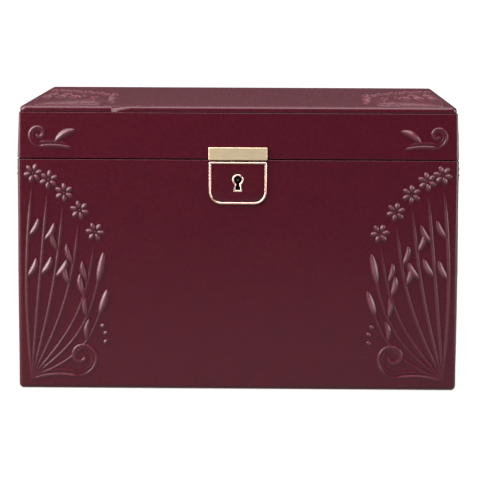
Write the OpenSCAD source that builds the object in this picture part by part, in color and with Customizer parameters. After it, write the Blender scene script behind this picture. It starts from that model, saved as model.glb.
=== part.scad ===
// Leather jewellery case: a leather-covered wooden box with a hinged lid, a mirror, two sliding
// half-width trays, a divided bottom and a box lock behind a shield-shaped escutcheon.
// The origin is the middle of the underside. +Z is up and the front faces -Y.

/* [Case] */
// Width of the case over its leather
case_w = 300; // [250:1:360]
// Depth of the case over its leather
case_d = 205; // [170:1:246]
// Height of the base, from the table to its rim
base_h = 159; // [130:1:190]
// Height of the lid, from its rim to its top
lid_h = 35.4; // [30:0.1:42]
// Gap between the two rims when the lid is down
parting_gap = 0.8; // [0.6:0.1:1.2]
// Radius of the upright corners
corner_r = 3; // [2:0.5:6]
// How far each wall of the lid has leaned in at its top
lid_lean = 1.2; // [0.4:0.1:2.4]

/* [Boards and coverings] */
// Thickness of the leather
leather_t = 1.2; // [0.8:0.1:1.5]
// Thickness of the wall boards
wall_t = 8; // [7:0.5:10]
// Thickness of the floor board
floor_t = 6; // [4:0.5:9]
// Thickness of the board in the top of the lid
lid_board_t = 6; // [4:0.5:8]
// Thickness of the leather-covered panel on top of the lid
top_panel_t = 4.4; // [2.5:0.1:5.5]
// How far the top panel stands back from the edge of the lid
panel_inset = 0.6; // [0.2:0.1:2]
// Thickness of the cover under the case, which it rests on
bottom_cover_t = 1.5; // [1:0.1:2.5]
// How far the leather turned in under the case laps over the edge of the floor board
turn_in_w = 0.8; // [0.5:0.1:6]

/* [Lining] */
// Thickness of the padded lining on the walls of the base
lining_t = 2; // [1.5:0.1:3]
// Thickness of the padded lining on the floor of the base
floor_lining_t = 2; // [1.5:0.5:4]
// How far the lining stands above the rim of the base
lip_h = 3.2; // [2:0.1:4]
// Gap between that lip and the inside of the lid
lip_clear = 0.5; // [0.4:0.1:0.8]
// Thickness of the lining in the lid
lid_lining_t = 1.5; // [1:0.1:2.5]

/* [Bottom compartments] */
// Thickness of the dividers in the bottom
divider_t = 3; // [2:0.5:5]
// Clear height between the dividers and the lower tray
divider_gap = 14; // [6:1:20]
// Rows of compartments across the width
divider_columns = 3; // [2:1:4]

/* [Trays] */
// Length of each tray, along the width of the case
tray_l = 138; // [110:1:166]
// Height of the upper tray
upper_tray_h = 38; // [34:1:46]
// Height of the lower tray
lower_tray_h = 34; // [24:1:42]
// Height from the top of the upper tray to the rim of the base
tray_drop = 7; // [6:1:10]
// Clear height between the two trays
tray_level_gap = 8; // [7:1:12]
// Thickness of the tray walls
tray_wall_t = 4; // [3:0.5:6]
// Thickness of the tray floors
tray_floor_t = 2.5; // [2:0.5:4]
// Width of the ledges that carry the upper tray
upper_ledge_w = 5; // [4:0.5:7]
// How much further the lower ledges stand out
ledge_step = 5.5; // [5:0.5:8]
// Height of the ledges
ledge_h = 6; // [4:0.5:9]
// Width of a ring roll with the slit beside it
roll_pitch = 24; // [18:1:30]
// Height of a ring roll
roll_h = 27; // [20:1:30]
// Thickness of the dividers in the lower tray
tray_divider_t = 2; // [1.5:0.5:4]
// Height of the dividers in the lower tray
tray_divider_h = 24; // [14:1:28]

/* [Mirror] */
// Distance from the lining of the lid to the mirror frame
mirror_margin = 12; // [6:1:30]
// Width of the mirror frame
mirror_frame_w = 9; // [6:1:16]
// Thickness of the mirror glass
mirror_t = 3; // [2:0.5:4]
// Thickness of the frame's lip in front of the glass
mirror_lip_t = 1.5; // [1:0.5:2.5]

/* [Hinges] */
// Length of each hinge
hinge_w = 36; // [24:1:60]
// Distance from the side of the case to the middle of a hinge
hinge_from_side = 62; // [40:1:90]
// Outer radius of the knuckles
knuckle_r = 2; // [1.8:0.1:3]
// Radius of the hinge pins
pin_r = 1; // [0.8:0.1:1.4]
// Thickness of the leaves
leaf_t = 1; // [0.8:0.1:1.1]
// How far the leaves reach in over the rims
leaf_reach = 7.5; // [6:0.5:8]
// Length of the stop heel behind the lid's knuckle
heel_l = 3.4; // [3:0.1:4]

/* [Lock] */
// Width of the shield on the base
shield_w = 39.2; // [30:0.1:50]
// Height of the shield
shield_h = 28.9; // [24:0.1:34]
// Radius of the shield's lower corners
shield_r = 8.5; // [4:0.1:11]
// Width of the shield's metal frame
shield_rim_w = 1.4; // [1:0.1:2.5]
// Height from the keyhole to the rim of the base
keyhole_drop = 13.5; // [13:0.1:16]
// Radius of the round part of the keyhole
keyhole_r = 2.7; // [2.2:0.1:3.2]
// Width of the metal outline round the keyhole
keyhole_rim_w = 1.2; // [0.8:0.1:1.8]
// Width of the plate on the lid
plate_w = 39.8; // [30:0.1:50]
// Height of the plate on the lid
plate_h = 8.4; // [6:0.1:12]
// Width of the lock case
lock_w = 36; // [34:1:40]
// Height of the lock case
lock_h = 26; // [25:1:32]
// Thickness of the lock case with its cover
lock_t = 6; // [5.5:0.1:6.5]
// Travel of the bolt
bolt_travel = 5; // [4:0.1:5]

/* [Hidden] */
$fn = 64;

// Sides of the box, numbered as quarter turns from the front
FRONT = 0;
RIGHT = 1;
BACK = 2;
LEFT = 3;

// Colours
leather_colour = "#551A26";
board_colour = "#C8A777";
lining_colour = "#C7AE90";
gold_colour = "#DCC8A2";
brass_colour = "#C9A55C";
steel_colour = "#9EA2A6";
mirror_colour = "#CBD5DA";

// Heights of the base
skirt_z = 0.3;
board_z = bottom_cover_t;
board_top = base_h - leather_t;
floor_top = board_z + floor_t;
lining_floor_top = floor_top + floor_lining_t;

// Heights of the lid
lid_z = base_h + parting_gap;
lid_top = lid_z + lid_h;
lid_box_top = lid_top - top_panel_t;
lid_inside_top = lid_box_top - lid_board_t;
lid_lining_z = base_h + lip_h + 1.2;
lid_lining_top = lid_inside_top - lid_lining_t;

// Plan sizes: inside the boards, and inside the linings
board_in_w = case_w - 2 * (leather_t + wall_t);
board_in_d = case_d - 2 * (leather_t + wall_t);
in_w = board_in_w - 2 * lining_t;
in_d = board_in_d - 2 * lining_t;
foot_w = leather_t + wall_t + turn_in_w;
mitre_depth = foot_w + lining_t;

// Trays: their levels, counted down from the rim, and their places
fit_gap = 0.5;
upper_tray_z = base_h - tray_drop - upper_tray_h;
lower_tray_z = upper_tray_z - tray_level_gap - lower_tray_h;
upper_tray_d = in_d - 2 * fit_gap;
lower_tray_d = in_d - 2 * upper_ledge_w - 2 * fit_gap;
upper_tray_x = -in_w / 2 + fit_gap;
lower_tray_x = in_w / 2 - fit_gap - tray_l;
divider_h = lower_tray_z - divider_gap - lining_floor_top;
divider_clear = 0.2;
soft_clear = 0.3;
tab_t = 1;
tab_w = 16;
tab_rise = 6;
tab_grip = 14;

// Hinge: the axis lies behind the back, halfway up the gap between the rims
hinge_clear = 0.2;
leaf_gap = 0.1;
axis_y = case_d / 2 + hinge_clear + knuckle_r;
axis_z = base_h + parting_gap / 2;
third_w = hinge_w / 3;
bore_clear = 0.05;
screw_r = 1;
hinge_screw_x = hinge_w / 2 - 7;
hinge_screw_y = case_d / 2 - leaf_reach / 2 - 0.5;
hinge_screw_l = 9;
tail_t = 1.05;
tail_top = knuckle_r + 0.4;
tail_low = knuckle_r + 5;

// Lock: the case lies in a pocket on the inner side of the front board, up to its top
front_y = -case_d / 2;
board_in_y = front_y + leather_t + wall_t;
lock_sheet_t = 1;
lock_top = board_top;
lock_low = lock_top - lock_h;
lock_back_y = board_in_y - lock_t;
cavity_y = lock_back_y + lock_sheet_t;
cavity_t = lock_t - 2 * lock_sheet_t;
cavity_mid_y = cavity_y + cavity_t / 2;
cover_w = lock_w + 16;
cover_screw_x = lock_w / 2 + 4;
cover_screw_l = 7;
pocket_clear = 0.1;
keyhole_z = base_h - keyhole_drop;
neck_half = 1.1;
slot_half = 1.8;
slot_drop = 7;
key_post_r = 1;
bolt_low = keyhole_z + 3.2;
bolt_h = 6;
bolt_left = -12;
bolt_body_w = 16;
bolt_gap = 0.2;
finger_l = bolt_travel + 0.2;
finger_h = 3;
finger_t = 1.2;
finger_z = bolt_low + bolt_h / 2;
tongue_t = 2;
tongue_x = bolt_left + bolt_body_w + bolt_travel + 1;
tongue_w = 3;
tongue_low = finger_z - finger_h / 2 - 2.4;
keeper_w = 44;
keeper_d = 5.4;
keeper_y = cavity_mid_y;
keeper_screw_x = keeper_w / 2 - 5;
keeper_screw_l = 8;
shield_top = base_h - 1.2;
frame_t = 1.3;
inlay_t = 0.7;
keyhole_rim_t = 1.1;
plate_t = 1.5;
plate_low = base_h + 0.1;

// ---------- shared shapes ----------

// Rectangle with round corners, about the origin
module round_rect(w, d, r) {
    square([w - 2 * r, d], center = true);
    square([w, d - 2 * r], center = true);
    for (sx = [-1, 1], sy = [-1, 1])
        translate([sx * (w / 2 - r), sy * (d / 2 - r)])
            circle(r);
}

// Upright ring of wall thickness t, whose inner corners are square where the wall is thicker
// than the corner's radius
module wall_ring(w, d, r, t, z0, z1) {
    translate([0, 0, z0])
        linear_extrude(z1 - z0)
            difference() {
                round_rect(w, d, r);
                if (r > t)
                    round_rect(w - 2 * t, d - 2 * t, r - t);
                else
                    square([w - 2 * t, d - 2 * t], center = true);
            }
}

// Upright square-cornered ring between an outer size and an inner size
module square_ring(w, d, in_w, in_d, z0, z1) {
    translate([0, 0, z0])
        linear_extrude(z1 - z0)
            difference() {
                square([w, d], center = true);
                square([in_w, in_d], center = true);
            }
}

// Box centred in plan, from z0 up to z1
module block(w, d, z0, z1) {
    translate([-w / 2, -d / 2, z0])
        cube([w, d, z1 - z0]);
}

// One side of what is drawn inside, cut off at 45 degrees at both corners of the case
module side_of(side) {
    run = side % 2 == 0 ? case_w : case_d;
    off = side % 2 == 0 ? case_d / 2 : case_w / 2;
    over = 2;
    intersection() {
        children();
        rotate(90 * side)
            translate([0, 0, -over])
                linear_extrude(lid_top + 2 * over)
                    polygon([
                        [-run / 2 - over, -off - over],
                        [run / 2 + over, -off - over],
                        [run / 2 - mitre_depth, -off + mitre_depth],
                        [-run / 2 + mitre_depth, -off + mitre_depth]]);
    }
}

// Countersunk slotted screw with its head's face at the origin, driven down -Z
module screw(l, r) {
    head_h = 0.8;
    difference() {
        union() {
            translate([0, 0, -head_h])
                cylinder(h = head_h, r1 = r, r2 = r + head_h);
            translate([0, 0, -l])
                cylinder(h = l - head_h, r = r);
        }
        translate([-2 * r, -0.2, -0.35])
            cube([4 * r, 0.4, 1]);
    }
}

// The hole that such a screw leaves, run out past its head
module screw_hole(l, r) {
    head_h = 0.8;
    translate([0, 0, -head_h])
        cylinder(h = head_h, r1 = r, r2 = r + head_h);
    translate([0, 0, -l])
        cylinder(h = l, r = r);
    cylinder(h = 3, r = r + head_h);
}

// ---------- base: boards, leather, lining ----------

module base_board(side) {
    color(board_colour)
        difference() {
            side_of(side)
                wall_ring(case_w - 2 * leather_t, case_d - 2 * leather_t, corner_r - leather_t,
                          wall_t, board_z, board_top);
            if (side == FRONT)
                lock_pocket();
            if (side == BACK)
                hinge_base_screw_places() screw_hole(hinge_screw_l, screw_r);
        }
}

module base_leather(side) {
    color(leather_colour)
        difference() {
            side_of(side) {
                wall_ring(case_w, case_d, corner_r, leather_t, skirt_z, base_h);
                wall_ring(case_w, case_d, corner_r, leather_t + wall_t, board_top, base_h);
                wall_ring(case_w, case_d, corner_r, foot_w, skirt_z, board_z);
            }
            if (side == FRONT) {
                keyhole_prism(0, front_y - 1, board_in_y);
                tongue_slot();
            }
            if (side == BACK) {
                hinge_places() base_leaf_plate();
                hinge_base_screw_places() screw_hole(hinge_screw_l, screw_r);
            }
        }
}

module base_lining(side) {
    lip_w = board_in_w - 2 * lip_clear;
    lip_d = board_in_d - 2 * lip_clear;
    color(lining_colour)
        side_of(side) {
            square_ring(board_in_w, board_in_d, in_w, in_d, floor_top, base_h);
            square_ring(lip_w, lip_d, in_w, in_d, floor_top, base_h + lip_h);
        }
}

module base_front_board() base_board(FRONT);
module base_back_board() base_board(BACK);
module base_left_board() base_board(LEFT);
module base_right_board() base_board(RIGHT);
module base_front_leather() base_leather(FRONT);
module base_back_leather() base_leather(BACK);
module base_left_leather() base_leather(LEFT);
module base_right_leather() base_leather(RIGHT);
module base_front_lining() base_lining(FRONT);
module base_back_lining() base_lining(BACK);
module base_left_lining() base_lining(LEFT);
module base_right_lining() base_lining(RIGHT);

module base_floor_board() {
    color(board_colour)
        block(board_in_w, board_in_d, board_z, floor_top);
}

module base_bottom_cover() {
    cover_gap = 0.4;
    inset = foot_w + cover_gap;
    color(leather_colour)
        linear_extrude(bottom_cover_t)
            round_rect(case_w - 2 * inset, case_d - 2 * inset, corner_r);
}

module base_floor_lining() {
    color(lining_colour)
        block(in_w, in_d, floor_top, lining_floor_top);
}

// ---------- ledges and dividers ----------

module ledge_pair(w, top) {
    color(lining_colour)
        for (s = [-1, 1])
            translate([0, s * (in_d - w) / 2, 0])
                block(in_w, w, top - ledge_h, top);
}

module upper_ledges() ledge_pair(upper_ledge_w, upper_tray_z);
module lower_ledges() ledge_pair(upper_ledge_w + ledge_step, lower_tray_z);

// Upright strip along X with notches from above at each place in xs, a little over half its height
module notched_strip(l, t, h, xs, notch_w) {
    notch_z = h / 2 - divider_clear / 2;
    difference() {
        translate([-l / 2, -t / 2, 0])
            cube([l, t, h]);
        for (x = xs)
            translate([x - notch_w / 2, -t, notch_z])
                cube([notch_w, 2 * t, h]);
    }
}

// Places of n - 1 dividers that part a length into n equal stretches
function divider_places(l, n) = [for (i = [1 : n - 1]) l * (i / n - 0.5)];

module long_divider() {
    color(lining_colour)
        translate([0, 0, lining_floor_top])
            notched_strip(in_w - 2 * divider_clear, divider_t, divider_h,
                          divider_places(in_w, divider_columns), divider_t + 2 * divider_clear);
}

module cross_dividers() {
    color(lining_colour)
        for (x = divider_places(in_w, divider_columns))
            translate([x, 0, lining_floor_top + divider_h])
                rotate([180, 0, 90])
                    notched_strip(in_d - 2 * divider_clear, divider_t, divider_h,
                                  [0], divider_t + 2 * divider_clear);
}

// ---------- hinges ----------

module hinge_place(side) {
    translate([side * (case_w / 2 - hinge_from_side), 0, 0])
        children();
}

module hinge_places() {
    for (s = [-1, 1])
        hinge_place(s) children();
}

module hinge_base_screw_places() {
    for (s = [-1, 1], t = [-1, 1])
        hinge_place(s)
            translate([t * hinge_screw_x, hinge_screw_y, axis_z - leaf_gap])
                children();
}

module hinge_lid_screw_places() {
    for (s = [-1, 1], t = [-1, 1])
        hinge_place(s)
            translate([t * hinge_screw_x, hinge_screw_y, axis_z + leaf_gap])
                rotate([180, 0, 0])
                    children();
}

// Round bar along the hinge axis between two places along it
module axis_bar(r, x0, x1) {
    translate([x0, axis_y, axis_z])
        rotate([0, 90, 0])
            cylinder(h = x1 - x0, r = r);
}

module base_leaf_plate() {
    translate([-hinge_w / 2, case_d / 2 - leaf_reach, axis_z - leaf_gap - leaf_t])
        cube([hinge_w, leaf_reach + hinge_clear + knuckle_r, leaf_t]);
}

module lid_leaf_plate() {
    translate([-hinge_w / 2, case_d / 2 - leaf_reach, axis_z + leaf_gap])
        cube([hinge_w, leaf_reach + hinge_clear + knuckle_r, leaf_t]);
}

// Base leaf: two outer knuckles, and a tail down the back that the lid's heel comes to rest on
module hinge_base_leaf(side) {
    web_y = case_d / 2 + 0.05;
    color(brass_colour)
        hinge_place(side)
            difference() {
                union() {
                    base_leaf_plate();
                    for (x = [-hinge_w / 2, hinge_w / 2 - third_w])
                        axis_bar(knuckle_r, x, x + third_w);
                    translate([-hinge_w / 2, web_y, axis_z - tail_low])
                        cube([hinge_w, tail_t - 0.05, tail_low - tail_top]);
                    for (x = [-hinge_w / 2, hinge_w / 2 - third_w])
                        translate([x, web_y, axis_z - tail_top - 0.5])
                            cube([third_w, tail_t, tail_top + 0.5 - leaf_gap]);
                }
                axis_bar(knuckle_r + 0.3, -third_w / 2 - 0.1, third_w / 2 + 0.1);
                axis_bar(pin_r, -hinge_w, hinge_w);
                for (t = [-1, 1])
                    translate([t * hinge_screw_x, hinge_screw_y, axis_z - leaf_gap])
                        screw_hole(hinge_screw_l, screw_r);
            }
}

// Lid leaf: one middle knuckle with the stop heel behind it
module hinge_lid_leaf(side) {
    knuckle_w = third_w - 0.2;
    heel_t = 1;
    color(brass_colour)
        hinge_place(side)
            difference() {
                union() {
                    lid_leaf_plate();
                    axis_bar(knuckle_r, -knuckle_w / 2, knuckle_w / 2);
                    translate([-knuckle_w / 2, axis_y, axis_z - heel_t / 2])
                        cube([knuckle_w, heel_l, heel_t]);
                }
                for (x = [-hinge_w / 2 - 1, third_w / 2 - 0.1])
                    axis_bar(knuckle_r + 0.3, x, x + third_w + 1.1);
                axis_bar(pin_r + bore_clear, -hinge_w, hinge_w);
                for (t = [-1, 1])
                    translate([t * hinge_screw_x, hinge_screw_y, axis_z + leaf_gap])
                        rotate([180, 0, 0])
                            screw_hole(hinge_screw_l, screw_r);
            }
}

module left_hinge_base_leaf() hinge_base_leaf(-1);
module right_hinge_base_leaf() hinge_base_leaf(1);
module left_hinge_lid_leaf() hinge_lid_leaf(-1);
module right_hinge_lid_leaf() hinge_lid_leaf(1);

module hinge_pins() {
    head_w = 0.6;
    color(brass_colour)
        hinge_places() {
            axis_bar(pin_r, -hinge_w / 2, hinge_w / 2);
            axis_bar(pin_r + 0.5, -hinge_w / 2 - head_w, -hinge_w / 2);
            axis_bar(pin_r + 0.5, hinge_w / 2, hinge_w / 2 + head_w);
        }
}

module hinge_base_screws() {
    color(brass_colour)
        hinge_base_screw_places() screw(hinge_screw_l, screw_r);
}

module hinge_lid_screws() {
    color(brass_colour)
        hinge_lid_screw_places() screw(hinge_screw_l, screw_r);
}

// ---------- lock ----------

// Keyhole outline about the middle of its round part, grown all round
module keyhole_outline(grow) {
    circle(keyhole_r + grow);
    polygon([
        [-neck_half - grow, 0],
        [neck_half + grow, 0],
        [slot_half + grow, -slot_drop - grow],
        [-slot_half - grow, -slot_drop - grow]]);
}

// Prism of an outline drawn in X and Z, from y0 back to y1
module prism_y(y0, y1) {
    translate([0, y1, 0])
        rotate([90, 0, 0])
            linear_extrude(y1 - y0)
                children();
}

module keyhole_prism(grow, y0, y1) {
    prism_y(y0, y1)
        translate([0, keyhole_z])
            keyhole_outline(grow);
}

module tongue_slot() {
    translate([tongue_x - 0.6, cavity_y - 0.2, board_top - 4])
        cube([tongue_t + 1.2, cavity_t + 0.2, 8]);
}

module cover_screw_places() {
    for (s = [-1, 1], z = [lock_low + 4, lock_top - 4])
        translate([s * cover_screw_x, board_in_y, z])
            rotate([-90, 0, 0])
                children();
}

// What is cut from the front board: the pocket, the cover's recess, the keyhole, the screw holes
module lock_pocket() {
    c = pocket_clear;
    translate([-lock_w / 2 - c, lock_back_y - c, lock_low - c])
        cube([lock_w + 2 * c, lock_t + 1, lock_h + 2]);
    translate([-cover_w / 2 - c, board_in_y - lock_sheet_t, lock_low - c])
        cube([cover_w + 2 * c, lock_sheet_t + 1, lock_h + 2]);
    keyhole_prism(0, front_y, board_in_y);
    cover_screw_places() screw_hole(cover_screw_l, screw_r);
}

module lock_case() {
    rail_h = 1.5;
    rail_top = bolt_low - bolt_gap;
    left_rail_end = bolt_left + bolt_travel + 2;
    right_rail_x = bolt_left + bolt_body_w + 0.6;
    color(steel_colour)
        difference() {
            union() {
                difference() {
                    translate([-lock_w / 2, lock_back_y, lock_low])
                        cube([lock_w, lock_t - lock_sheet_t, lock_h]);
                    translate([-lock_w / 2 + lock_sheet_t, cavity_y, lock_low + lock_sheet_t])
                        cube([lock_w - 2 * lock_sheet_t, lock_t, lock_h - 2 * lock_sheet_t]);
                }
                translate([-lock_w / 2, cavity_y - 0.1, rail_top - rail_h])
                    cube([lock_w / 2 + left_rail_end, cavity_t + 0.1, rail_h]);
                translate([right_rail_x, cavity_y - 0.1, rail_top - rail_h])
                    cube([tongue_x - 0.8 - right_rail_x, cavity_t + 0.1, rail_h]);
            }
            keyhole_prism(0, front_y, cavity_y + 0.5);
            tongue_slot();
        }
}

module lock_cover() {
    color(steel_colour)
        difference() {
            translate([-cover_w / 2, board_in_y - lock_sheet_t, lock_low])
                cube([cover_w, lock_sheet_t, lock_h]);
            cover_screw_places() screw_hole(cover_screw_l, screw_r);
        }
}

module lock_screws() {
    color(steel_colour)
        cover_screw_places() screw(cover_screw_l, screw_r);
}

module key_post() {
    color(steel_colour)
        translate([0, board_in_y - lock_sheet_t, keyhole_z])
            rotate([90, 0, 0])
                cylinder(h = leather_t + wall_t - lock_sheet_t, r = key_post_r);
}

// Drawn back, clear of the keeper; the key bit turns in the notch under its body
module lock_bolt() {
    notch_w = 4;
    notch_h = 2.5;
    body_t = cavity_t - 2 * bolt_gap;
    color(steel_colour) {
        difference() {
            translate([bolt_left, cavity_y + bolt_gap, bolt_low])
                cube([bolt_body_w, body_t, bolt_h]);
            translate([-notch_w / 2, cavity_y, bolt_low - 1])
                cube([notch_w, cavity_t, notch_h + 1]);
        }
        translate([bolt_left + bolt_body_w - 0.5, cavity_mid_y - finger_t / 2, finger_z - finger_h / 2])
            cube([finger_l + 0.5, finger_t, finger_h]);
    }
}

// Bowed leaf under the top of the lock case, which keeps the bolt from sliding by itself
module bolt_spring() {
    spring_t = 0.4;
    room = lock_top - lock_sheet_t - (bolt_low + bolt_h) - 0.1;
    half_l = 7;
    rise = room - spring_t;
    bow_r = (half_l * half_l + rise * rise) / (2 * rise);
    low_z = bolt_low + bolt_h + 0.1;
    color(steel_colour)
        prism_y(cavity_mid_y - 1.5, cavity_mid_y + 1.5)
            intersection() {
                translate([-2, low_z + bow_r])
                    difference() {
                        circle(bow_r);
                        circle(bow_r - spring_t);
                    }
                translate([-2 - half_l, low_z])
                    square([2 * half_l, room]);
            }
}

// Shield outline, with square upper corners; its top edge lies on the X axis
module shield_outline(inset) {
    w = shield_w - 2 * inset;
    h = shield_h - 2 * inset;
    r = shield_r - inset;
    translate([0, -inset]) {
        translate([-w / 2, -h + r])
            square([w, h - r]);
        translate([-w / 2 + r, -h])
            square([w - 2 * r, r + 1]);
        for (s = [-1, 1])
            translate([s * (w / 2 - r), -h + r])
                circle(r);
    }
}

module escutcheon_frame() {
    color(gold_colour)
        prism_y(front_y - frame_t, front_y)
            translate([0, shield_top])
                difference() {
                    shield_outline(0);
                    shield_outline(shield_rim_w);
                }
}

module escutcheon_inlay() {
    color(leather_colour)
        difference() {
            prism_y(front_y - inlay_t, front_y)
                translate([0, shield_top])
                    shield_outline(shield_rim_w);
            keyhole_prism(keyhole_rim_w, front_y - 2, front_y + 1);
        }
}

module keyhole_rim() {
    color(gold_colour)
        difference() {
            keyhole_prism(keyhole_rim_w, front_y - keyhole_rim_t, front_y);
            keyhole_prism(0, front_y - 2, front_y + 1);
        }
}

// ---------- lid ----------

// Solid lid shape, leaning in as it rises, brought in by inset all round
module lid_form(inset, z0, z1) {
    slice = 0.01;
    lean_h = lid_box_top - lid_z;
    function lean(z) = lid_lean * (z - lid_z) / lean_h;
    hull()
        for (z = [z0, z1 - slice])
            translate([0, 0, z])
                linear_extrude(slice)
                    round_rect(case_w - 2 * (lean(z) + inset), case_d - 2 * (lean(z) + inset),
                               corner_r - inset, $fn = 32);
}

module lid_board(side) {
    color(board_colour)
        difference() {
            side_of(side)
                difference() {
                    lid_form(leather_t, lid_z + leather_t, lid_box_top);
                    block(board_in_w, board_in_d, lid_z, lid_top);
                }
            if (side == FRONT)
                keeper_screw_places() screw_hole(keeper_screw_l, screw_r);
            if (side == BACK)
                hinge_lid_screw_places() screw_hole(hinge_screw_l, screw_r);
        }
}

module lid_leather(side) {
    color(leather_colour)
        difference() {
            side_of(side)
                difference() {
                    lid_form(0, lid_z, lid_box_top);
                    lid_form(leather_t, lid_z + leather_t, lid_box_top);
                    block(board_in_w, board_in_d, lid_z - 1, lid_top);
                }
            if (side == FRONT)
                keeper_plate(0.1);
            if (side == BACK) {
                hinge_places() lid_leaf_plate();
                hinge_lid_screw_places() screw_hole(hinge_screw_l, screw_r);
            }
        }
}

module lid_front_board() lid_board(FRONT);
module lid_back_board() lid_board(BACK);
module lid_left_board() lid_board(LEFT);
module lid_right_board() lid_board(RIGHT);
module lid_front_leather() lid_leather(FRONT);
module lid_back_leather() lid_leather(BACK);
module lid_left_leather() lid_leather(LEFT);
module lid_right_leather() lid_leather(RIGHT);

module lid_top_board() {
    color(board_colour)
        block(board_in_w, board_in_d, lid_inside_top, lid_box_top);
}

module lid_top_panel() {
    inset = lid_lean + panel_inset;
    color(leather_colour)
        translate([0, 0, lid_box_top])
            linear_extrude(top_panel_t)
                round_rect(case_w - 2 * inset, case_d - 2 * inset, corner_r);
}

module lid_lining() {
    color(lining_colour)
        difference() {
            block(board_in_w, board_in_d, lid_lining_z, lid_inside_top);
            block(board_in_w - 2 * lid_lining_t, board_in_d - 2 * lid_lining_t,
                  lid_lining_z - 1, lid_lining_top);
        }
}

frame_out_w = board_in_w - 2 * (lid_lining_t + mirror_margin);
frame_out_d = board_in_d - 2 * (lid_lining_t + mirror_margin);
mirror_w = frame_out_w - mirror_frame_w;
mirror_d = frame_out_d - mirror_frame_w;
mirror_low = lid_lining_top - mirror_t;
frame_low = mirror_low - mirror_lip_t;

module mirror_glass() {
    color(mirror_colour)
        block(mirror_w, mirror_d, mirror_low, lid_lining_top);
}

module mirror_frame() {
    color(gold_colour)
        difference() {
            block(frame_out_w, frame_out_d, frame_low, lid_lining_top);
            block(mirror_w, mirror_d, mirror_low, lid_top);
            block(frame_out_w - 2 * mirror_frame_w, frame_out_d - 2 * mirror_frame_w,
                  frame_low - 1, lid_top);
        }
}

// Plate on the front of the lid, leaning back with it
module lid_plate() {
    lean_angle = atan(lid_lean / (lid_box_top - lid_z));
    color(gold_colour)
        translate([0, front_y - 0.02, lid_z])
            rotate([-lean_angle, 0, 0])
                translate([0, 0, plate_low - lid_z])
                    prism_y(-plate_t, 0)
                        translate([0, plate_h / 2])
                            round_rect(plate_w, plate_h, 0.6);
}

module keeper_screw_places() {
    for (s = [-1, 1])
        translate([s * keeper_screw_x, keeper_y, lid_z])
            rotate([180, 0, 0])
                children();
}

module keeper_plate(grow) {
    translate([-keeper_w / 2 - grow, keeper_y - keeper_d / 2 - grow, lid_z - grow])
        cube([keeper_w + 2 * grow, keeper_d + 2 * grow, leather_t + grow]);
}

// Plate let into the rim of the lid, with a tongue whose eye the bolt slides through
module lid_keeper() {
    eye_clear = 0.5;
    eye_t = finger_t + 0.6;
    color(gold_colour)
        difference() {
            union() {
                keeper_plate(0);
                translate([tongue_x, cavity_mid_y - tongue_w / 2, tongue_low])
                    cube([tongue_t, tongue_w, lid_z - tongue_low + 0.1]);
            }
            translate([tongue_x - 1, cavity_mid_y - eye_t / 2, finger_z - finger_h / 2 - eye_clear])
                cube([tongue_t + 2, eye_t, finger_h + 2 * eye_clear]);
            keeper_screw_places() screw_hole(keeper_screw_l, screw_r);
        }
}

module keeper_screws() {
    color(steel_colour)
        keeper_screw_places() screw(keeper_screw_l, screw_r);
}

// ---------- trays ----------

// Tray frame and floor, from x0 along X, centred in Y
module tray_rim(x0, d, h, z) {
    color(leather_colour)
        translate([x0 + tray_l / 2, 0, 0])
            square_ring(tray_l, d, tray_l - 2 * tray_wall_t, d - 2 * tray_wall_t, z, z + h);
}

module tray_floor(x0, d, z) {
    color(lining_colour)
        translate([x0 + tray_l / 2, 0, 0])
            block(tray_l - 2 * tray_wall_t, d - 2 * tray_wall_t, z, z + tray_floor_t);
}

// Leather pull tab that stands against a tray's end wall at x and rises over it
module pull_tab(x, rim_top) {
    color(leather_colour)
        translate([x, 0, rim_top - tab_grip])
            rotate([90, 0, 90])
                linear_extrude(tab_t) {
                    translate([-tab_w / 2, 0])
                        square([tab_w, tab_grip + tab_rise - tab_w / 2]);
                    translate([0, tab_grip + tab_rise - tab_w / 2])
                        circle(tab_w / 2);
                }
}

module upper_tray_rim() tray_rim(upper_tray_x, upper_tray_d, upper_tray_h, upper_tray_z);
module upper_tray_floor() tray_floor(upper_tray_x, upper_tray_d, upper_tray_z);
module upper_tray_tab()
    pull_tab(upper_tray_x + tray_l - tray_wall_t - tab_t, upper_tray_z + upper_tray_h);

module lower_tray_rim() tray_rim(lower_tray_x, lower_tray_d, lower_tray_h, lower_tray_z);
module lower_tray_floor() tray_floor(lower_tray_x, lower_tray_d, lower_tray_z);
module lower_tray_tab()
    pull_tab(lower_tray_x + tray_wall_t, lower_tray_z + lower_tray_h);

// Ring rolls: padded bars along X, round on top, side by side from the front wall to the back
module ring_rolls() {
    bay = upper_tray_d - 2 * tray_wall_t;
    n = floor(bay / roll_pitch);
    roll_w = bay / n - 2 * soft_clear;
    roll_l = tray_l - 2 * tray_wall_t - tab_t - 3 * soft_clear;
    roll_z = upper_tray_z + tray_floor_t + soft_clear;
    color(lining_colour)
        for (i = [0 : n - 1])
            translate([upper_tray_x + tray_wall_t + soft_clear, bay * ((i + 0.5) / n - 0.5), roll_z])
                rotate([90, 0, 90])
                    linear_extrude(roll_l) {
                        translate([-roll_w / 2, 0])
                            square([roll_w, roll_h - roll_w / 2]);
                        translate([0, roll_h - roll_w / 2])
                            circle(roll_w / 2);
                    }
}

// Two cross strips and one long strip, notched into each other
module lower_tray_dividers() {
    bay_l = tray_l - 2 * tray_wall_t - 2 * tab_t - 2 * soft_clear;
    bay_d = lower_tray_d - 2 * tray_wall_t;
    notch_w = tray_divider_t + 2 * divider_clear;
    color(lining_colour)
        translate([lower_tray_x + tray_l / 2, 0, lower_tray_z + tray_floor_t]) {
            notched_strip(bay_l, tray_divider_t, tray_divider_h, divider_places(bay_l, 3), notch_w);
            for (x = divider_places(bay_l, 3))
                translate([x, 0, tray_divider_h])
                    rotate([180, 0, 90])
                        notched_strip(bay_d - 2 * divider_clear, tray_divider_t, tray_divider_h,
                                      [0], notch_w);
        }
}

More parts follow.
